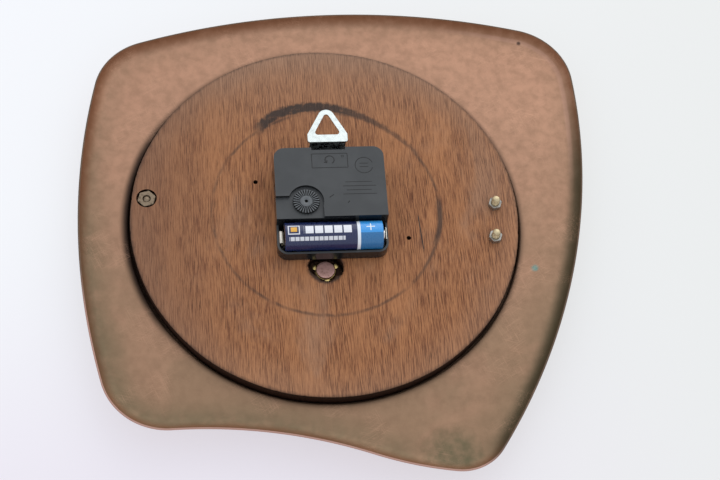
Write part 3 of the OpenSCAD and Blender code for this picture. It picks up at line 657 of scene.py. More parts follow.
def cell_sleeve(s):
    """The cell's shrunk sleeve: dark blue, a white band, a pale blue positive end with a plus
    sign, and plain bands of lighter print. Bare metal shows at both ends."""
    m = Finish("printed cell sleeve", IOR=1.5, Coat_Weight=0.3, Coat_Roughness=0.1)
    lo, hi = bench_box("battery")
    start, cy, cz = lo.x, (lo.y + hi.y) / 2, (lo.z + hi.z) / 2
    x, z, y = m.split(m.bench())
    along = m.sub(x, start)
    dy, dz = m.sub(y, cy), m.sub(z, cz)
    around = m.mul(m.sum("ARCTAN2", dy, dz), CELL_R)
    r = m.sum("SQRT", m.add(m.mul(dy, dy), m.mul(dz, dz)))
    grain = m.noise(m.bench(), 2.0, 3)

    def box(u0, u1, v0, v1, soft=0.12):
        return m.mul(m.band(along, (u0 + u1) / 2, (u1 - u0) / 2, soft),
                     m.band(around, (v0 + v1) / 2, (v1 - v0) / 2, soft))
    colour = m.mix(m.fade(grain, 0.3, 0.7, 0, 0.4), rgb(s.sleeve), rgb(s.sleeve, 1.5))
    # Two white printed bars on the front, and one thin line at the side
    bars = m.most(box(9.5, 33.5, -1.6, 2.6), m.mul(0.85, box(2.2, 30, -5.3, -3.4)))
    ticks = m.mul(bars, m.fade(m.sum("FRACT", m.mul(along, m.fade(around, -3, -2, 0.42, 0.21))), 0.14,
                               0.18))
    side = box(3, 33, 7.6, 8.0)
    panel = m.sub(box(1.6, 7.4, -2.0, 3.0), box(2.1, 6.9, -1.5, 2.5))
    white = m.most(m.most(ticks, side), panel)
    colour = m.mix(m.mul(white, 0.9), colour, (0.92, 0.94, 1.0, 1))
    colour = m.mix(box(3.0, 6.0, -0.6, 1.9), colour, (0.80, 0.42, 0.04, 1))
    total = hi.x - lo.x - CELL_BUTTON
    # The pale blue end is painted darker on the side towards the clock's bottom and lighter above it:
    # painted shade and painted light round the cell.
    bright = m.mix(m.fade(around, -2.2, -1.6), rgb(s.sleeve_end, 0.6), rgb(s.sleeve_end, 1.25))
    colour = m.mix(m.fade(along, total - 11.9, total - 11.8), colour, bright)
    colour = m.mix(m.band(along, total - 12.4, 0.75, 0.1), colour, (0.82, 0.88, 0.95, 1))
    plus = m.most(box(total - 8.6, total - 4.4, 1.15, 1.55), box(total - 6.7, total - 6.3, -0.75, 3.45))
    colour = m.mix(plus, colour, (0.85, 0.92, 0.97, 1))
    bare = m.fade(r, 6.35, 6.5, 1, 0)
    colour = m.mix(bare, colour, m.mix(grain, (0.55, 0.54, 0.52, 1), (0.72, 0.71, 0.69, 1)))
    return m.done(colour, m.fade(grain, 0.3, 0.7, 0.24, 0.32), m.bump(m.noise(m.bench(), 0.7, 2), 0.02),
                  bare)


def painted(name, colour, rough, chips=(0.5, 0.36, 0.18)):
    """Thin satin paint on sheet brass, with a faint orange peel and worn specks."""
    m = Finish(name, Coat_Weight=0.15)
    at = m.bench()
    peel = m.noise(at, 1.6, 3)
    c = m.mix(m.fade(m.noise(at, 0.2, 4), 0.3, 0.7, 0, 0.5), rgb(colour), rgb(colour, 1.3))
    worn = m.fade(m.noise(at, 0.9, 5, 0.75), 0.68, 0.74)
    return m.done(m.mix(worn, c, tuple(chips) + (1,)), m.fade(peel, 0.3, 0.7, rough, rough + 0.1),
                  m.bump(m.sub(peel, worn), 0.02), worn)


def wound_wire(s):
    """Enamelled wire wound in close turns: bands of light and shade at the wire's pitch."""
    m = Finish("enamelled copper wire", Metallic=0.9, Coat_Weight=0.5, Coat_Roughness=0.1)
    x, z, y = m.split(m.bench())
    turns = m.sum("SINE", m.mul(m.add(x, m.mul(y, 0.03)), TAU / WIRE_PITCH))
    c = m.mix(m.fade(turns, -1, 1), rgb(s.wire, 0.5), rgb(s.wire, 1.2))
    c = m.mix(m.fade(m.noise(m.bench(), 0.8, 3), 0.45, 0.65, 0, 0.5), c, rgb(s.wire, 0.8))
    return m.done(c, m.fade(turns, -1, 1, 0.42, 0.28), m.bump(turns, 0.03))


def board_skin(s):
    """Green solder resist with copper tracks under it and tinned pads."""
    m = Finish("printed board", IOR=1.5, Coat_Weight=0.3)
    at = m.bench()
    x, z, y = m.split(at)
    lanes = m.band(m.sum("FRACT", m.mul(m.add(y, m.noise(at, 0.12, 0)), 0.55)), 0.5, 0.16, 0.03)
    pads = m.fade(m.distance(m.join(m.sum("PINGPONG", m.add(x, 40), 1.3), 0.0,
                                    m.sum("PINGPONG", y, 1.9)),
                             (1.3, 0, 1.9)), 0.42, 0.5, 1, 0)
    c = m.mix(lanes, rgb(s.board), rgb(s.board, 1.7))
    c = m.mix(m.fade(m.noise(at, 0.8, 4), 0.4, 0.7, 0, 0.3), c, rgb(s.board, 0.7))
    c = m.mix(pads, c, (0.72, 0.70, 0.66, 1))
    return m.done(c, m.fade(pads, 0, 1, 0.4, 0.25), m.bump(m.add(lanes, pads), 0.04), m.mul(pads, 0.9))


# ---- Sizes and colours ------------------------------------------------------------------


def colour(name, description, default):
    return FloatVectorProperty(name=name, description=description, default=default, size=3,
                               subtype="COLOR", min=0, max=1)


class ClockFinishes(bpy.types.PropertyGroup):
    """Colours of the clock's finishes, linear."""
    copper_high: colour("Copper, upper", "Brown copper towards the top of the plate",
                        (0.47, 0.265, 0.175))
    copper_low: colour("Copper, lower", "Duller copper towards the bottom of the plate",
                       (0.325, 0.205, 0.128))
    bloom: colour("Green bloom", "Greenish bloom along the rim", (0.13, 0.125, 0.065))
    gap_shade_and_tarnish: colour("Tarnish", "Tarnished copper in the gap round the wood", (0.11, 0.06, 0.04))
    rim_shade: colour("Rim wall", "Orange-brown copper inside the turned-up rim", (0.30, 0.125, 0.06))
    wood_light: colour("Wood, light", "Light streaks of the teak", (0.430, 0.185, 0.076))
    wood_dark: colour("Wood, dark", "Dark streaks of the teak", (0.165, 0.055, 0.022))
    wood_grey: colour("Wood, weathered", "Greyed, weathered teak", (0.300, 0.170, 0.108))
    stain: colour("Stain", "The stained ring and the dirt on the wood", (0.040, 0.026, 0.021))
    case: colour("Case", "Black plastic of the movement", (0.041, 0.045, 0.049))
    sleeve: colour("Cell sleeve", "Dark blue sleeve of the cell", (0.010, 0.018, 0.075))
    sleeve_end: colour("Cell end", "Pale blue positive end of the cell's sleeve", (0.035, 0.27, 0.66))
    zinc: colour("Zinc plate", "Bright plating of the hanger", (0.60, 0.66, 0.66))
    brass: colour("Brass", "Satin brass of the hands and hour markers", (0.62, 0.45, 0.20))
    second: colour("Second hand", "Paint of the second hand", (0.38, 0.07, 0.05))
    wire: colour("Coil wire", "Enamelled wire of the coil", (0.62, 0.24, 0.09))
    board: colour("Board", "Solder resist of the circuit board", (0.03, 0.12, 0.05))
    white_plastic: colour("Wheel plastic", "Natural plastic of the wheels", (0.78, 0.76, 0.68))


class ClockSizes(bpy.types.PropertyGroup):
    """Sizes that shape the new pieces, and where the camera stands."""
    dents: FloatProperty(name="Dents",
                         description="How far the copper's flat wanders up and down, in millimetres",
                         default=0.22, min=0, max=0.3)
    rim_out: FloatProperty(name="Rim",
                           description="How far the rim stands outside the CAD outline, in millimetres",
                            default=0.8, min=0, max=1.5)
    knob_ribs: IntProperty(name="Knob ribs", default=28, min=24, max=60)
    rough_edge: FloatProperty(name="Rough edge",
                              description="How deep the wood's edge is chipped, in millimetres",
                              default=0.55, min=0, max=1)
    case_edge: FloatProperty(name="Case edge",
                             description="Rounding of the case's edges, in millimetres",
                             default=0.45, min=0.1, max=0.6)
    thread_pitch: FloatProperty(name="Bolt thread",
                                description="Pitch of the bolts' thread, in millimetres",
                                default=0.7, min=0.5, max=1)
    distance: FloatProperty(name="Distance", description="From the aim point to the camera",
                            default=0.8445,
                            unit="LENGTH", subtype="DISTANCE")
    pitch: FloatProperty(name="Pitch", description="Camera's turn about X",
                         default=math.radians(116.723), subtype="ANGLE")
    roll: FloatProperty(name="Roll", description="Camera's turn about Y", default=math.radians(4.040),
                        subtype="ANGLE")
    yaw: FloatProperty(name="Yaw", description="Camera's turn about Z", default=math.radians(175.496),
                       subtype="ANGLE")
    lens: FloatProperty(name="Lens", description="Focal length in millimetres", default=83.35, min=20,
                        max=200)


# ---- Copper plate, wood and what holds them together --------------------------------------


class CLOCK_OT_copper_plate(bpy.types.Operator):
    """Make the copper plate with its turned-up rim and pressed recess"""
    bl_idname = "clock.copper_plate"
    bl_label = "Copper plate"

    def execute(self, context):
        sizes = context.scene.clock_sizes
        p, n = outline(1.1)
        p = p + sizes.rim_out * n
        spokes = p - DISC_C
        spokes /= np.linalg.norm(spokes, axis=1, keepdims=True)
        floor, proud = WOOD_FRONT, -PROUD
        front = proud - SHEET_T
        rows, levels, edge, wall = [], [], [], []
        bend_x = -RIM_R * math.sin(math.radians(RIM_BEND))

        def row(xy, z, e=60.0, w=0.0):
            rows.append(xy)
            levels.append(np.full(len(p), z, float))
            edge.append(np.full(len(p), e, float))
            wall.append(np.full(len(p), w, float))

        def circle(r):
            return DISC_C + r * spokes

        def sheet(side, floor_z, flat_z):
            """One face of the sheet from the winding hole out to the lip. side is 1 on the back."""
            bend_low, bend_high = (BEND_IN, BEND_OUT)[::side]
            for k in np.linspace(0, 1, 26):
                row((1 - k) * (PLUG_C + PLUG_R * spokes) + k * circle(RECESS_R - BEND_IN), floor_z)
            for r, z in arc((RECESS_R - BEND_IN, floor + BEND_IN), bend_low, -90, 0, 6)[1:]:
                row(circle(r), z)
            for r, z in arc((RECESS_R + BEND_OUT, proud - BEND_OUT), bend_high, 180, 90, 6):
                row(circle(r), z)
            inner, outer = circle(RECESS_R + BEND_OUT), p + (bend_x - 0.8) * n
            wide = np.linalg.norm(outer - inner, axis=1)
            for k in np.linspace(0, 1, 30)[1:-1]:
                row((1 - k) * inner + k * outer, flat_z)
                edge[-1] = (1 - k) * wide - bend_x + 0.8
                lift = sizes.dents * math.sin(k * math.pi) * wander(rows[-1])
                levels[-1] = levels[-1] + lift
            row(outer, flat_z, -bend_x + 0.8)
            for x, z in arc((bend_x, front + RIM_R), RIM_R - (SHEET_T if side > 0 else 0), -90,
                            RIM_BEND - 90, 18):
                # How far up the rim each row stands sets the rim's painted shade; the front face gets a
                # fifth of it.
                w = max(0.0, min(1.0, (z - flat_z - 0.25) / 2.2))
                row(p + x * n, z, -x, w if side > 0 else 0.2 * w)

        sheet(1, floor, proud)
        t = math.radians(RIM_BEND - 90)
        lip = (bend_x + (RIM_R - 0.5) * math.cos(t), front + RIM_R + (RIM_R - 0.5) * math.sin(t))
        for x, z in arc(lip, 0.5, 180 + RIM_BEND - 90, RIM_BEND - 90, 9)[1:-1]:
            row(p + x * n, z, 0, 0.0)
            edge[-1][:] = -1
        count = len(rows)
        sheet(-1, floor - SHEET_T, front)
        for part in (rows, levels, edge, wall):
            part[count:] = part[count:][::-1]
        xy, z = np.array(rows), np.array(levels)
        plate = piece("copper_plate_sheet", [(stand(xy[..., 0], xy[..., 1], z), True, True)],
                      "clock",
                      ["copper_plate"], 50, {"from_edge": np.array(edge), "wall": np.array(wall)})
        wear(plate, material=copper_sheet(context.scene.clock_finishes))
        return {"FINISHED"}


def wander(xy):
    """Slow rise and fall over the plate: the mean of three crossed sines, 47 to 58 mm long."""
    x, y = xy[:, 0], xy[:, 1]
    return (np.sin(x / 9.5 + y / 31) + np.sin(y / 7.9 - x / 23 + 1) + np.sin((x + y) / 13 + 2)) / 3


class CLOCK_OT_backing_disc(bpy.types.Operator):
    """Make the round plywood back with its chipped edge and the winding hole"""
    bl_idname = "clock.backing_disc"
    bl_label = "Backing disc"

    def execute(self, context):
        sizes = context.scene.clock_sizes
        t = np.linspace(0, TAU, 900, endpoint=False)
        spokes = np.stack([np.cos(t), np.sin(t)], 1)
        corners = np.array([(-9.2, 1.4), (-7.4, -3), (-4.6, -4.6), (-2.6, -7.2), (2.2, -7.6), (5, -5),
                            (7.8, -4.4),
                            (9, -1.2), (8.2, 3.2), (5.6, 6.6), (-1, 7.6), (-6.4, 6)])
        angle = np.arctan2(corners[:, 1], corners[:, 0])
        order = np.argsort(angle)
        hole = np.interp(t, angle[order], np.hypot(*corners.T)[order], period=TAU)
        hole = hole + 0.45 * ripple(t, 4, 14, 8, 60) + 0.2
        chips = np.clip(ripple(t, 11, 40, 20, 260) * 2.2 - 0.25, 0,
                        1) + 0.25 * (1 + ripple(t, 5, 20, 5, 90)) / 2
        edge = DISC_R + 0.4 - sizes.rough_edge * chips - 0.3 * (1 + ripple(t, 23, 12, 3, 24))
        rows, levels = [], []

        def row(k, inset, z):
            """A ring k of the way from the hole to the edge, drawn in by inset at that side."""
            inner = PLUG_C + (hole + inset)[:, None] * spokes
            outer = DISC_C + (edge - inset)[:, None] * spokes
            rows.append((1 - k) * inner + k * outer)
            levels.append(np.full(len(t), z))
        for z in np.linspace(WOOD_FRONT, -0.4, 6):
            row(0, 0.35 * math.sin(z * 2.1), z)
        for a in np.radians([20, 50, 80]):
            row(0, 0.4 * (1 - math.cos(a)), -0.4 + 0.4 * math.sin(a))
        for k in np.linspace(0, 1, 34)[1:-1]:
            row(k, 0.5, 0)
        for a in np.radians([90, 60, 30, 0]):
            row(1, 0.5 * (1 - math.cos(a)), -0.5 + 0.5 * math.sin(a))
        for z in np.linspace(-1.5, WOOD_FRONT, 7):
            row(1, 0.25 * (0.5 + 0.5 * math.sin(z * 2.0)), z)
        for k in np.linspace(1, 0, 12)[1:-1]:
            row(k, 0.5, WOOD_FRONT)
        xy = np.array(rows)
        disc = piece("plywood_back", [(stand(xy[..., 0], xy[..., 1], np.array(levels)), True, True)],
                     "clock",
                     ["backing_disc"], 40)
        left = bolt_places("left_bolt")[0]
        cuts = [revolve((*left, 0), [0, 5.2, 5.2, 0], [-3.6, -3.6, 1, 1]),
                revolve((0, 0, 0), [0, 4.6, 4.6, 0], [WOOD_FRONT - 1, WOOD_FRONT - 1, 1, 1])]
        for c in bolt_places("left_bolt") + bolt_places("right_bolts"):
            cuts.append(revolve((*c, 0), [0, 2.15, 2.15, 0], [WOOD_FRONT - 1, WOOD_FRONT - 1, 1, 1]))
        for c in ((-37, 17.6), (39.4, -16.9)):
            cuts.append(revolve((*c, 0), [0, 0.7, 1.25, 0], [-6, -5, 1, 1], 24))
        drill(disc, cuts)
        wear(disc, material=teak(context.scene.clock_finishes))
        return {"FINISHED"}


def bolt_places(node):
    """The bench x and y of each bolt in a CAD node: vertices at its tip, grouped by height."""
    co = np.array([v.co for v in frame["nodes"][node].data.vertices])
    x, y = (AXIS.x - co[:, 0]) * 1000, (co[:, 2] - AXIS.z) * 1000
    gap = (y.max() + y.min()) / 2
    groups = [(x, y)] if y.max() - y.min() < 12 else [(x[y > gap], y[y > gap]),
                                                      (x[y < gap], y[y < gap])]
    return [((a.max() + a.min()) / 2, (b.max() + b.min()) / 2) for a, b in groups]


def drill(obj, cuts):
    """Cuts closed shapes out of a piece and keeps the result as its mesh."""
    for i, (points, around, along) in enumerate(cuts):
        rows, cols = points.shape[:2]
        mesh = bpy.data.meshes.new("drill")
        mesh.from_pydata(points.reshape(-1, 3).tolist(), [],
                         grid_faces(rows, cols, around, along).tolist())
        tool = bpy.data.objects.new("drill", mesh)
        bpy.context.scene.collection.objects.link(tool)
        clean(tool, 30)
        m = obj.modifiers.new("drill", "BOOLEAN")
        m.operation, m.object, m.solver = "DIFFERENCE", tool, "EXACT"
        bpy.context.view_layer.update()
        cut = bpy.data.meshes.new_from_object(obj.evaluated_get(bpy.context.evaluated_depsgraph_get()))
        obj.modifiers.clear()
        bpy.data.objects.remove(tool)
        if len(cut.polygons) < 100:
            raise RuntimeError(f"the drill took away {obj.name} at hole {i}")
        obj.data = cut
    clean(obj, 40)


def threaded(c, low, high, r, pitch, depth, dome, turns=48):
    """A threaded rod from low to high with a domed tip: the radius falls by depth as a triangle
    wave of height over pitch plus the angle, so that the crests make one helix."""
    z = np.arange(low, high - dome, pitch / 7)
    r0 = np.full(len(z), r, float)
    tip = np.linspace(0, math.pi / 2, 7)
    z = np.concatenate([[low], z, high - dome + dome * np.sin(tip)])
    r0 = np.concatenate([[0], r0, r * 0.93 * np.cos(tip)])
    cuts = (z > low) & (z < high - dome - 1e-6)

    def helix(t, h, radius):
        wave = np.abs(((h / pitch + t / TAU) % 1) * 2 - 1)
        return -depth * wave * cuts[:, None]
    r0[-1] = 0
    return revolve((*c, 0), r0, z, turns, wobble=helix)


def dome_head(c, low, r, height, turns=48):
    """A low domed bolt head under level low: a quarter ellipse from the rim to the middle."""
    a = np.linspace(0, math.pi / 2, 10)
    radius = np.concatenate([[0, r - 0.15, r], r * np.cos(a)[1:]])
    level = np.concatenate([[low, low, low - 0.15], low - 0.2 - (height - 0.2) * np.sin(a)[1:]])
    radius[-1] = 0
    return revolve((*c, 0), radius, level, turns)


class CLOCK_OT_bolts(bpy.types.Operator):
    """Make the three threaded bolts and ease the edges of their nuts"""
    bl_idname = "clock.bolts"
    bl_label = "Bolts and nuts"

    def execute(self, context):
        pitch = context.scene.clock_sizes.thread_pitch
        steel = metal("dull old steel", (0.27, 0.21, 0.15), 0.48, (0.07, 0.045, 0.028), 0.75, scale=0.6)
        old_brass = metal("dull brass", (0.62, 0.52, 0.33), 0.42, (0.20, 0.15, 0.08), 0.6, scale=0.5)
        grey = metal("grey nut steel", (0.40, 0.39, 0.36), 0.4, (0.12, 0.10, 0.07), 0.6, scale=0.5)
        for node, finish, slot in (("left_bolt", steel, "old_steel"),
                                   ("right_bolts", old_brass, "dull_brass")):
            lo, hi = bench_box(node)
            top, head = hi.z, DIAL_FRONT - lo.z
            shells = []
            for c in bolt_places(node):
                shells += [threaded(c, DIAL_FRONT - 0.05, top, 2.0, pitch, 0.28, 0.9),
                           dome_head(c, DIAL_FRONT, 3.8, head)]
            wear(piece("threaded_" + node, shells, "clock", [node], 50), material=finish)
        wear(eased("left_nut", 0.35, segments=3), material=steel)
        wear(eased("right_nuts", 0.35, segments=3), material=grey)
        return {"FINISHED"}


class CLOCK_OT_winding_hole(bpy.types.Operator):
    """Make the cap over the old winding hole and the brass claws that hold it"""
    bl_idname = "clock.winding_hole"
    bl_label = "Winding hole plug"

    def execute(self, context):
        lo, back = (corner.z for corner in bench_box("winding_hole_plug"))
        r = np.linspace(0, 6.8, 14)
        dome = lo + (DIAL_FRONT - lo - 0.1) * (r / 6.8) ** 2
        edge = np.linspace(0, 1.5, 6)
        radius = np.concatenate([r, [6.75, PLUG_R - 0.02, PLUG_R - 0.02],
                                 PLUG_R - 0.32 + 0.3 * np.cos(edge), [3.2, 0]])
        level = np.concatenate([dome, [DIAL_FRONT, DIAL_FRONT + 0.02, back - 0.35],
                                back - 0.33 + 0.3 * np.sin(edge),
                                [back - 0.1, back - 0.16]])
        cap = piece("winding_hole_cap", [revolve((*PLUG_C, 0), radius, level)], "clock",
                    ["winding_hole_plug"], 40)
        wear(cap, material=metal("satin copper cap", (0.60, 0.37, 0.33), 0.5, (0.26, 0.14, 0.11), 0.5,
                                 scale=0.5))
        lip = PLUG_R + 0.2 + 0.2 * np.cos(np.linspace(0, math.pi, 7))
        lip_z = back - 1.2 + 0.2 * np.sin(np.linspace(0, math.pi, 7))
        shells = [revolve((*PLUG_C, 0), [*lip, PLUG_R, PLUG_R + 0.4, PLUG_R + 0.4],
                          [*lip_z, WOOD_FRONT, WOOD_FRONT, back - 1.2])]
        shells += [claw(math.radians(turn), back - 0.45) for turn in (20, 165, 275)]
        claws = piece("winding_hole_claws", shells, "clock", ["plug_claws"], 45)
        wear(claws, material=metal("bright brass claws", (0.80, 0.62, 0.25), 0.3, (0.22, 0.14, 0.05),
                                   0.75, scale=0.8))
        return {"FINISHED"}


def claw(turn, level):
    """A claw of the collar: a thin tongue that leaves the collar, bends over outwards and narrows
    to a rounded tip. Rows run along the bend and each is a flattened oval across it."""
    k = np.linspace(0, 1, 16)
    reach = PLUG_R + 0.1 + 2.0 * k
    lift = level + 0.55 * np.sin(k * math.pi * 0.85)
    half = 1.3 * np.sqrt(np.clip(1 - (np.clip(k - 0.55, 0, 1) / 0.45) ** 2, 0, 1))
    half[0] = 0
    a = np.linspace(0, TAU, 12, endpoint=False)[None, :]
    side = half[:, None] * np.cos(a)
    up = lift[:, None] + 0.2 * np.sin(a) * (half[:, None] > 0)
    out = reach[:, None] + 0 * a
    x = PLUG_C[0] + out * math.cos(turn) - side * math.sin(turn)
    y = PLUG_C[1] + out * math.sin(turn) + side * math.cos(turn)
    return stand(x, y, up), True, False


# ---- Movement ---------------------------------------------------------------------------


class CLOCK_OT_hanger(bpy.types.Operator):
    """Ease the edges of the zinc-plated hanger"""
    bl_idname = "clock.hanger"
    bl_label = "Hanger"

    def execute(self, context):
        zinc = metal("bright zinc plate", context.scene.clock_finishes.zinc, 0.2, (0.55, 0.58, 0.58),
                     0.35, scale=0.35)
        wear(eased("hanger", 0.22, 25), material=zinc)
        return {"FINISHED"}


class CLOCK_OT_case(bpy.types.Operator):
    """Ease the edges of the movement's case and add the raised marks on its back"""
    bl_idname = "clock.case"
    bl_label = "Movement case"

    def execute(self, context):
        s, sizes = context.scene.clock_finishes, context.scene.clock_sizes
        black = moulded("spark-eroded black plastic", s.case, 0.42)
        for node in ("front_case", "back_cover"):
            wear(eased(node, sizes.case_edge, 35, 3), material=black)
        top = CASE_TOP - 0.005
        shells = []

        def line(a, b, n=12):
            return np.linspace(a, b, n)

        # A raised frame with a plain device in it: an arrow that turns back on itself
        x0, x1, y0, y1 = -8.8, 9.4, 16.1, 24.2
        corners = [(x0, y0), (x1, y0), (x1, y1), (x0, y1), (x0, y0)]
        shells += [ridge(line(a, b), 0.38, 0.14, top) for a, b in zip(corners, corners[1:])]
        shells.append(ridge(arc((0.3, 20.6), 2.3, -60, 230, 40), 0.55, 0.16, top))
        shells += [ridge(line((-1.2, 18.9), (-2.6, 19.3)), 0.55, 0.16, top),
                   ridge(line((-1.2, 18.9), (-1.1, 20.3)), 0.55, 0.16, top)]
        shells.append(ridge(arc((6.9, 22.6), 0.6, 0, 360, 24), 0.3, 0.1, top))
        # A round mark with two short bars, where a part's date is usually moulded
        shells.append(ridge(arc((17.6, 17.1), 4.5, 20, 340, 60), 0.38, 0.14, top))
        shells += [ridge(line((15.4, y), (19.8, y)), 0.4, 0.1, top) for y in (16.2, 18.2)]
        # Plain raised lines, and two small ejector marks
        for i, (a, b) in enumerate(((7.5, 21), (6, 23), (8, 20.5), (6, 23))):
            shells.append(ridge(line((a, 7.6 - 2.3 * i), (b, 7.6 - 2.3 * i)), 0.4, 0.1, top))
        shells += [ridge(line((-1, -1), (1.2, 0.6), 8), 0.55, 0.16, top),
                   ridge(line((8.1, -4.3), (9, -3.2), 6), 0.6, 0.12, top)]
        # The raised marks take a far darker copy of the case's plastic: painted shade along the marks.
        marks = moulded("polished raised marks in painted shade", tuple(0.12 * c for c in s.case), 0.3)
        wear(piece("case_raised_marks", shells, "clock", smooth=60), material=marks)
        self.knob(sizes.knob_ribs, s)
        return {"FINISHED"}

    def knob(self, ribs, s):
        """The knob: rings of points out from the axis, level over a hub and then cut by radial
        grooves (a rounded square wave around the axis) out to a rim that waves in step. A plain
        stem and a wheel with fourteen rounded teeth hang below it."""
        t = np.linspace(0, TAU, ribs * 10, endpoint=False)
        low, high = CASE_TOP - 1.55, CASE_TOP - 0.1
        notch = 1 / (1 + np.exp(-8 * (np.cos(ribs * t) - 0.05)))
        rows = [(0, high - 1.3, 0), (0.75, high - 1.3, 0), (0.8, high - 0.15, 0), (0.95, high, 0),
                (2.9, high, 0)]
        rows += [(r, high, min(1, (r - 2.9) / 0.35)) for r in np.linspace(2.95, 6.2, 12)]
        rows += [(6.2 + 0.55 * math.sin(a), high - 0.55 + 0.55 * math.cos(a),
                  1) for a in np.linspace(0.2, 1.5, 6)]
        rows += [(6.75, low + 0.3, 1), (6.5, low, 0.5), (1.2, low, 0), (1.2, 4.1, 0), (0.8, 4.1, 0),
                 (0.8, 2.1, 0), (0, 2.1, 0)]
        radius, height, depth = np.array(rows).T
        r = radius[:, None] - np.where(radius > 6.3, 0.28, 0)[:, None] * depth[:, None] * notch
        z = height[:, None] - np.where(height > high - 0.6, 0.7, 0)[:, None] * depth[:, None] * notch
        shells = [(stand(KNOB_C[0] + r * np.cos(t), KNOB_C[1] + r * np.sin(t), z), True, False)]
        teeth = 3.15 + 0.42 * np.tanh(2.2 * np.cos(14 * t))
        r = np.array([0.5, 1, 1, 0.5])[:, None] * teeth
        z = np.array([4.0, 4.0, 4.9, 4.9])[:, None] + 0 * t
        shells.append((stand(KNOB_C[0] + r * np.cos(t), KNOB_C[1] + r * np.sin(t), z), True, False))
        ribbed = piece("ribbed_knob", shells, "knob", ["setting_knob"], 50)
        wear(ribbed, material=knob_skin(s))


class CLOCK_OT_cell(bpy.types.Operator):
    """Make the AA cell and the two sprung contacts"""
    bl_idname = "clock.cell"
    bl_label = "Cell and contacts"

    def execute(self, context):
        s = context.scene.clock_finishes
        lo, hi = bench_box("battery")
        c = (lo.x, (lo.y + hi.y) / 2, (lo.z + hi.z) / 2)
        r, shoulder = CELL_R, hi.x - lo.x - CELL_BUTTON
        profile = [(0, 0.25), (5.2, 0.25), (5.6, 0.02), (6.2, 0.0), (6.42, 0.12), (6.45, 0.3),
                   (6.6, 0.1), (6.95, 0.16)]
        profile += [(r - 0.06 + 0.06 * math.sin(k), 0.3 + 0.5 * k) for k in np.linspace(0, 1.5, 4)]
        profile += [(r, x) for x in np.linspace(1.5, shoulder - 1.5, 30)]
        profile += [(r - 0.75 + 0.75 * math.cos(a),
                     shoulder - 0.85 + 0.75 * math.sin(a)) for a in np.linspace(0, 1.45, 7)]
        profile += [(6.4, shoulder - 0.12), (6.3, shoulder - 0.45), (3.6, shoulder - 0.45),
                    (3.3, shoulder), (2.7, shoulder),
                    (2.7, shoulder + 0.8), (2.62, shoulder + 1.0), (2.4, shoulder + CELL_BUTTON),
                    (0, shoulder + CELL_BUTTON)]
        radius, along = np.array(profile).T
        cell = piece("aa_cell", [revolve(c, radius, along, 96, "x")], "cell", ["battery"],
                     40)
        wear(cell, material=cell_sleeve(s))
        nickel = metal("nickelled spring strip", (0.80, 0.77, 0.70), 0.25, (0.45, 0.38, 0.26), 0.4,
                       scale=0.5)
        lo, hi = bench_box("negative_contact")
        y0, y1, end, floor = lo.y, hi.y, lo.x + 0.15, lo.z
        left = np.concatenate([[(end, floor + 0.1), (end, floor + 6.6)],
                               arc((end + 0.75, floor + 7.0), 0.75, 180, 20, 9),
                               arc((end + 1.9, c[2] - 1.4), 0.42, 15, -70, 5) + [[-0.1, 0]],
                               [(end + 0.9, c[2] - 4.2)]])
        wear(piece("negative_spring", [strip(fine_path(left), 0.3, y0, y1)], "clock",
                   ["negative_contact"], 40),
             material=nickel)
        wall_x = bench_box("positive_contact")[1].x - 0.15
        right = np.concatenate([[(wall_x, floor + 0.1), (wall_x, c[2] - 2.2)],
                                arc((wall_x - 0.02, c[2]), 0.16, -60, 60, 4) - [[0.14, 0]],
                                [(wall_x, c[2] + 2.0), (wall_x, floor + 7.4)]])
        wear(piece("positive_spring", [strip(fine_path(right), 0.28, y0, y1)],
                   "clock",
                   ["positive_contact"], 40), material=nickel)
        return {"FINISHED"}


def fine_path(points):
    """The same path with points evenly spaced along it, about 0.2 mm apart."""
    points = np.asarray(points, float)
    run = np.concatenate([[0], np.cumsum(np.linalg.norm(np.diff(points, axis=0), axis=1))])
    at = np.linspace(0, run[-1], int(run[-1] / 0.2))
    return np.stack([np.interp(at, run, points[:, i]) for i in (0, 1)], 1)


class CLOCK_OT_electronics(bpy.types.Operator):
    """Finish the board, the crystal, the chip and the coil with its stator"""
    bl_idname = "clock.electronics"
    bl_label = "Electronics"

    def execute(self, context):
        s = context.scene.clock_finishes
        wear("circuit_board", material=board_skin(s))
        resin = moulded("black potting resin", (0.012, 0.012, 0.013), 0.16, 1.5, 0.02)
        wear("driver_chip", material=resin)
        wear("quartz_crystal", material=metal("drawn metal can", (0.75, 0.76, 0.78), 0.2, brush=0.15))
        wear("coil_bobbin", material=moulded("natural bobbin plastic", s.white_plastic, 0.4))
        iron = metal("stamped soft iron", (0.44, 0.45, 0.47), 0.34, (0.2, 0.18, 0.16), 0.4, brush=0.12)
        wear("coil_core", "stator", material=iron)
        lo, hi = bench_box("coil_winding")
        c = (lo.x, (lo.y + hi.y) / 2, (lo.z + hi.z) / 2)
        length, r = hi.x - lo.x, (hi.z - lo.z) / 2
        x = np.linspace(0, length, int(length / WIRE_PITCH * 5))
        bulge = r - 0.12 + 0.1 * np.abs(np.sin(x * math.pi / WIRE_PITCH))
        bulge = bulge - 0.25 * (np.abs(x / length - 0.5) * 2) ** 8
        radius = np.concatenate([[1.92], bulge, [1.92, 1.92]])
        level = np.concatenate([[0], x, [length, 0]])
        coil = piece("coil_turns", [revolve(c, radius, level, 32, "x")], "clock",
                     ["coil_winding"], 60)
        wear(coil, material=wound_wire(s))
        return {"FINISHED"}


class CLOCK_OT_wheels(bpy.types.Operator):
    """Finish the wheels of the train and the rotor"""
    bl_idname = "clock.wheels"
    bl_label = "Wheel train"

    def execute(self, context):
        plastic = moulded("natural wheel plastic", context.scene.clock_finishes.white_plastic, 0.36,
                          0.4, 0.008)
        wear("intermediate_wheel", "second_wheel", "third_wheel", "minute_wheel", "cannon_pinion",
             "motion_wheel",
             "hour_wheel", material=plastic)
        wear("rotor", material=metal("sintered magnet", (0.22, 0.22, 0.24), 0.45, (0.3, 0.28, 0.24),
                                     0.3))
        return {"FINISHED"}


# ---- Dial side --------------------------------------------------------------------------


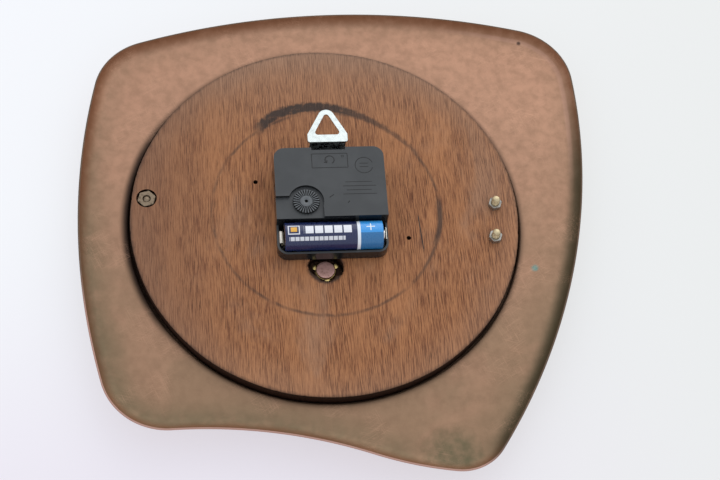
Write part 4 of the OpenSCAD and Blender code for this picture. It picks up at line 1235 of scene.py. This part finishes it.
class CLOCK_OT_shaft(bpy.types.Operator):
    """Make the threaded bush and ease the nut and washer on the dial"""
    bl_idname = "clock.shaft"
    bl_label = "Shaft fittings"

    def execute(self, context):
        low, high = (corner.z for corner in bench_box("threaded_bush"))
        pitch = 0.75
        z = np.arange(low, high - 0.5, pitch / 7)
        radius = np.concatenate([[2.6], np.full(len(z), 4.0), [4.0, 6.0, 6.0, 2.6, 2.6]])
        level = np.concatenate([[low], z, [high - 0.5, high - 0.5, high, high, low]])
        cut = np.zeros(len(radius))
        cut[1:len(z) + 1] = 0.3

        def helix(t, h, r):
            return -cut[:, None] * np.abs(((h / pitch + t / TAU) % 1) * 2 - 1)
        brass = metal("turned brass", (0.72, 0.54, 0.26), 0.28, (0.25, 0.17, 0.07), 0.35, scale=0.4)
        bush = piece("bush_thread", [revolve((0, 0, 0), radius, level, 64, wobble=helix)],
                     "clock",
                     ["threaded_bush"], 50)
        wear(bush, eased("shaft_nut", 0.35, 30, 3), eased("shaft_washer", 0.15, 30), material=brass)
        return {"FINISHED"}


class CLOCK_OT_hands(bpy.types.Operator):
    """Ease the hands and the hour markers and give them their finishes"""
    bl_idname = "clock.hands"
    bl_label = "Hands and markers"

    def execute(self, context):
        s = context.scene.clock_finishes
        brass = metal("brushed brass", s.brass, 0.26, (0.30, 0.20, 0.09), 0.35, brush=0.14, scale=0.25)
        wear(eased("hour_markers", 0.3, 30, 3), eased("hour_hand", 0.15), eased("minute_hand", 0.15),
             material=brass)
        wear(eased("second_hand", 0.12), material=painted("red satin paint", s.second, 0.34))
        return {"FINISHED"}


# ---- Stage ------------------------------------------------------------------------------


class CLOCK_OT_stage(bpy.types.Operator):
    """Lay the clock on a pale table, light it softly and set up the camera"""
    bl_idname = "clock.stage"
    bl_label = "Stage"

    def execute(self, context):
        scene, sizes = context.scene, context.scene.clock_sizes
        table_y = CAD_BOX[0].y - 0.0006
        mesh = bpy.data.meshes.new("pale_table")
        far = 4.0
        mesh.from_pydata([(-far, table_y, -far), (-far, table_y, far), (far, table_y, far),
                          (far, table_y, -far)],
                         [], [(0, 1, 2, 3)])
        table = bpy.data.objects.new("pale_table", mesh)
        scene.collection.objects.link(table)
        table.visible_shadow = table.visible_diffuse = table.visible_glossy = False
        wear(table, material=table_top())
        world = bpy.data.worlds.new("soft room")
        scene.world = world
        world.use_nodes = True
        world.node_tree.nodes["Background"].inputs["Color"].default_value = (0.95, 0.97, 1.0, 1)
        world.node_tree.nodes["Background"].inputs["Strength"].default_value = 0.84
        self.lamp("window", (-0.8, 1.3, 1.8), 2.4, 17, (1.0, 0.985, 0.96))
        self.lamp("dial side", (0.6, -1.8, 1.4), 1.4, 28, (1.0, 0.97, 0.93))
        camera = bpy.data.objects.new("camera", bpy.data.cameras.new("camera"))
        scene.collection.objects.link(camera)
        camera.data.lens, camera.data.sensor_width = sizes.lens, 36
        camera.data.clip_start = 0.01
        camera.rotation_euler = (sizes.pitch, sizes.roll, sizes.yaw)
        aim = Vector(stand(*AIM))
        back = camera.rotation_euler.to_matrix() @ Vector((0, 0, 1))
        camera.location = aim + back * sizes.distance
        scene.camera = camera
        scene.view_settings.view_transform = "Standard"
        return {"FINISHED"}

    def lamp(self, name, place, size, power, colour):
        """A square soft light that faces the clock."""
        light = bpy.data.lights.new(name, "AREA")
        light.shape, light.size, light.energy, light.color = "SQUARE", size, power, colour
        o = bpy.data.objects.new(name, light)
        o.location = place
        o.rotation_euler = (AXIS - Vector(place)).to_track_quat("-Z", "Y").to_euler()
        bpy.context.scene.collection.objects.link(o)


def table_top():
    """A pale table that glows a little with painted light, and is seen only from the side that
    the clock lies on."""
    m = Finish("pale table", Roughness=0.6, Emission_Strength=1.0)
    x, z, y = m.split(m.bench())
    # The glow is painted light, brighter and bluer towards the left, with a darker lavender patch
    # towards the bottom left as a painted soft shadow.
    glow = m.mix(m.fade(x, -300, 330), (0.66, 0.665, 0.70, 1), (0.54, 0.565, 0.555, 1))
    low = m.mul(m.fade(y, -220, 20, 1, 0), m.fade(x, -60, 240, 1, 0))
    m.feed(m.shader.inputs["Emission Color"], m.mix(low, glow, (0.56, 0.50, 0.585, 1)))
    m.done(m.mix(m.fade(x, -160, 260), (0.27, 0.28, 0.29, 1), (0.28, 0.27, 0.275, 1)))
    see_through = m.node("ShaderNodeBsdfTransparent")
    side = m.node("ShaderNodeNewGeometry").outputs["Backfacing"]
    mix = m.node("ShaderNodeMixShader")
    m.feed(mix.inputs[0], side)
    m.feed(mix.inputs[1], m.shader.outputs[0])
    m.feed(mix.inputs[2], see_through.outputs[0])
    m.feed(m.tree.nodes["Material Output"].inputs["Surface"], mix.outputs[0])
    return m.material


# ---- Add-on -----------------------------------------------------------------------------

STEPS = (CLOCK_OT_stage, CLOCK_OT_copper_plate, CLOCK_OT_backing_disc, CLOCK_OT_bolts,
         CLOCK_OT_winding_hole,
         CLOCK_OT_hanger, CLOCK_OT_case, CLOCK_OT_cell, CLOCK_OT_electronics, CLOCK_OT_wheels,
         CLOCK_OT_shaft,
         CLOCK_OT_hands)


class CLOCK_PT_panel(bpy.types.Panel):
    """Lists the clock's pieces in the order in which they are made"""
    bl_idname = "CLOCK_PT_panel"
    bl_label = "Copper wall clock"
    bl_space_type = "VIEW_3D"
    bl_region_type = "UI"
    bl_category = "Clock"

    def draw(self, context):
        for step in STEPS:
            self.layout.operator(step.bl_idname)
        for group in (context.scene.clock_sizes, context.scene.clock_finishes):
            box = self.layout.box()
            for key in group.__annotations__:
                box.prop(group, key)


def register():
    for c in (ClockFinishes, ClockSizes, *STEPS, CLOCK_PT_panel):
        bpy.utils.register_class(c)
    bpy.types.Scene.clock_finishes = PointerProperty(type=ClockFinishes)
    bpy.types.Scene.clock_sizes = PointerProperty(type=ClockSizes)


def unregister():
    del bpy.types.Scene.clock_sizes
    del bpy.types.Scene.clock_finishes
    for c in (CLOCK_PT_panel, *reversed(STEPS), ClockSizes, ClockFinishes):
        bpy.utils.unregister_class(c)


def main():
    """Makes every piece in order."""
    register()
    for step in STEPS:
        group, name = step.bl_idname.split(".")
        getattr(getattr(bpy.ops, group), name)()


if __name__ == "__main__":
    main()
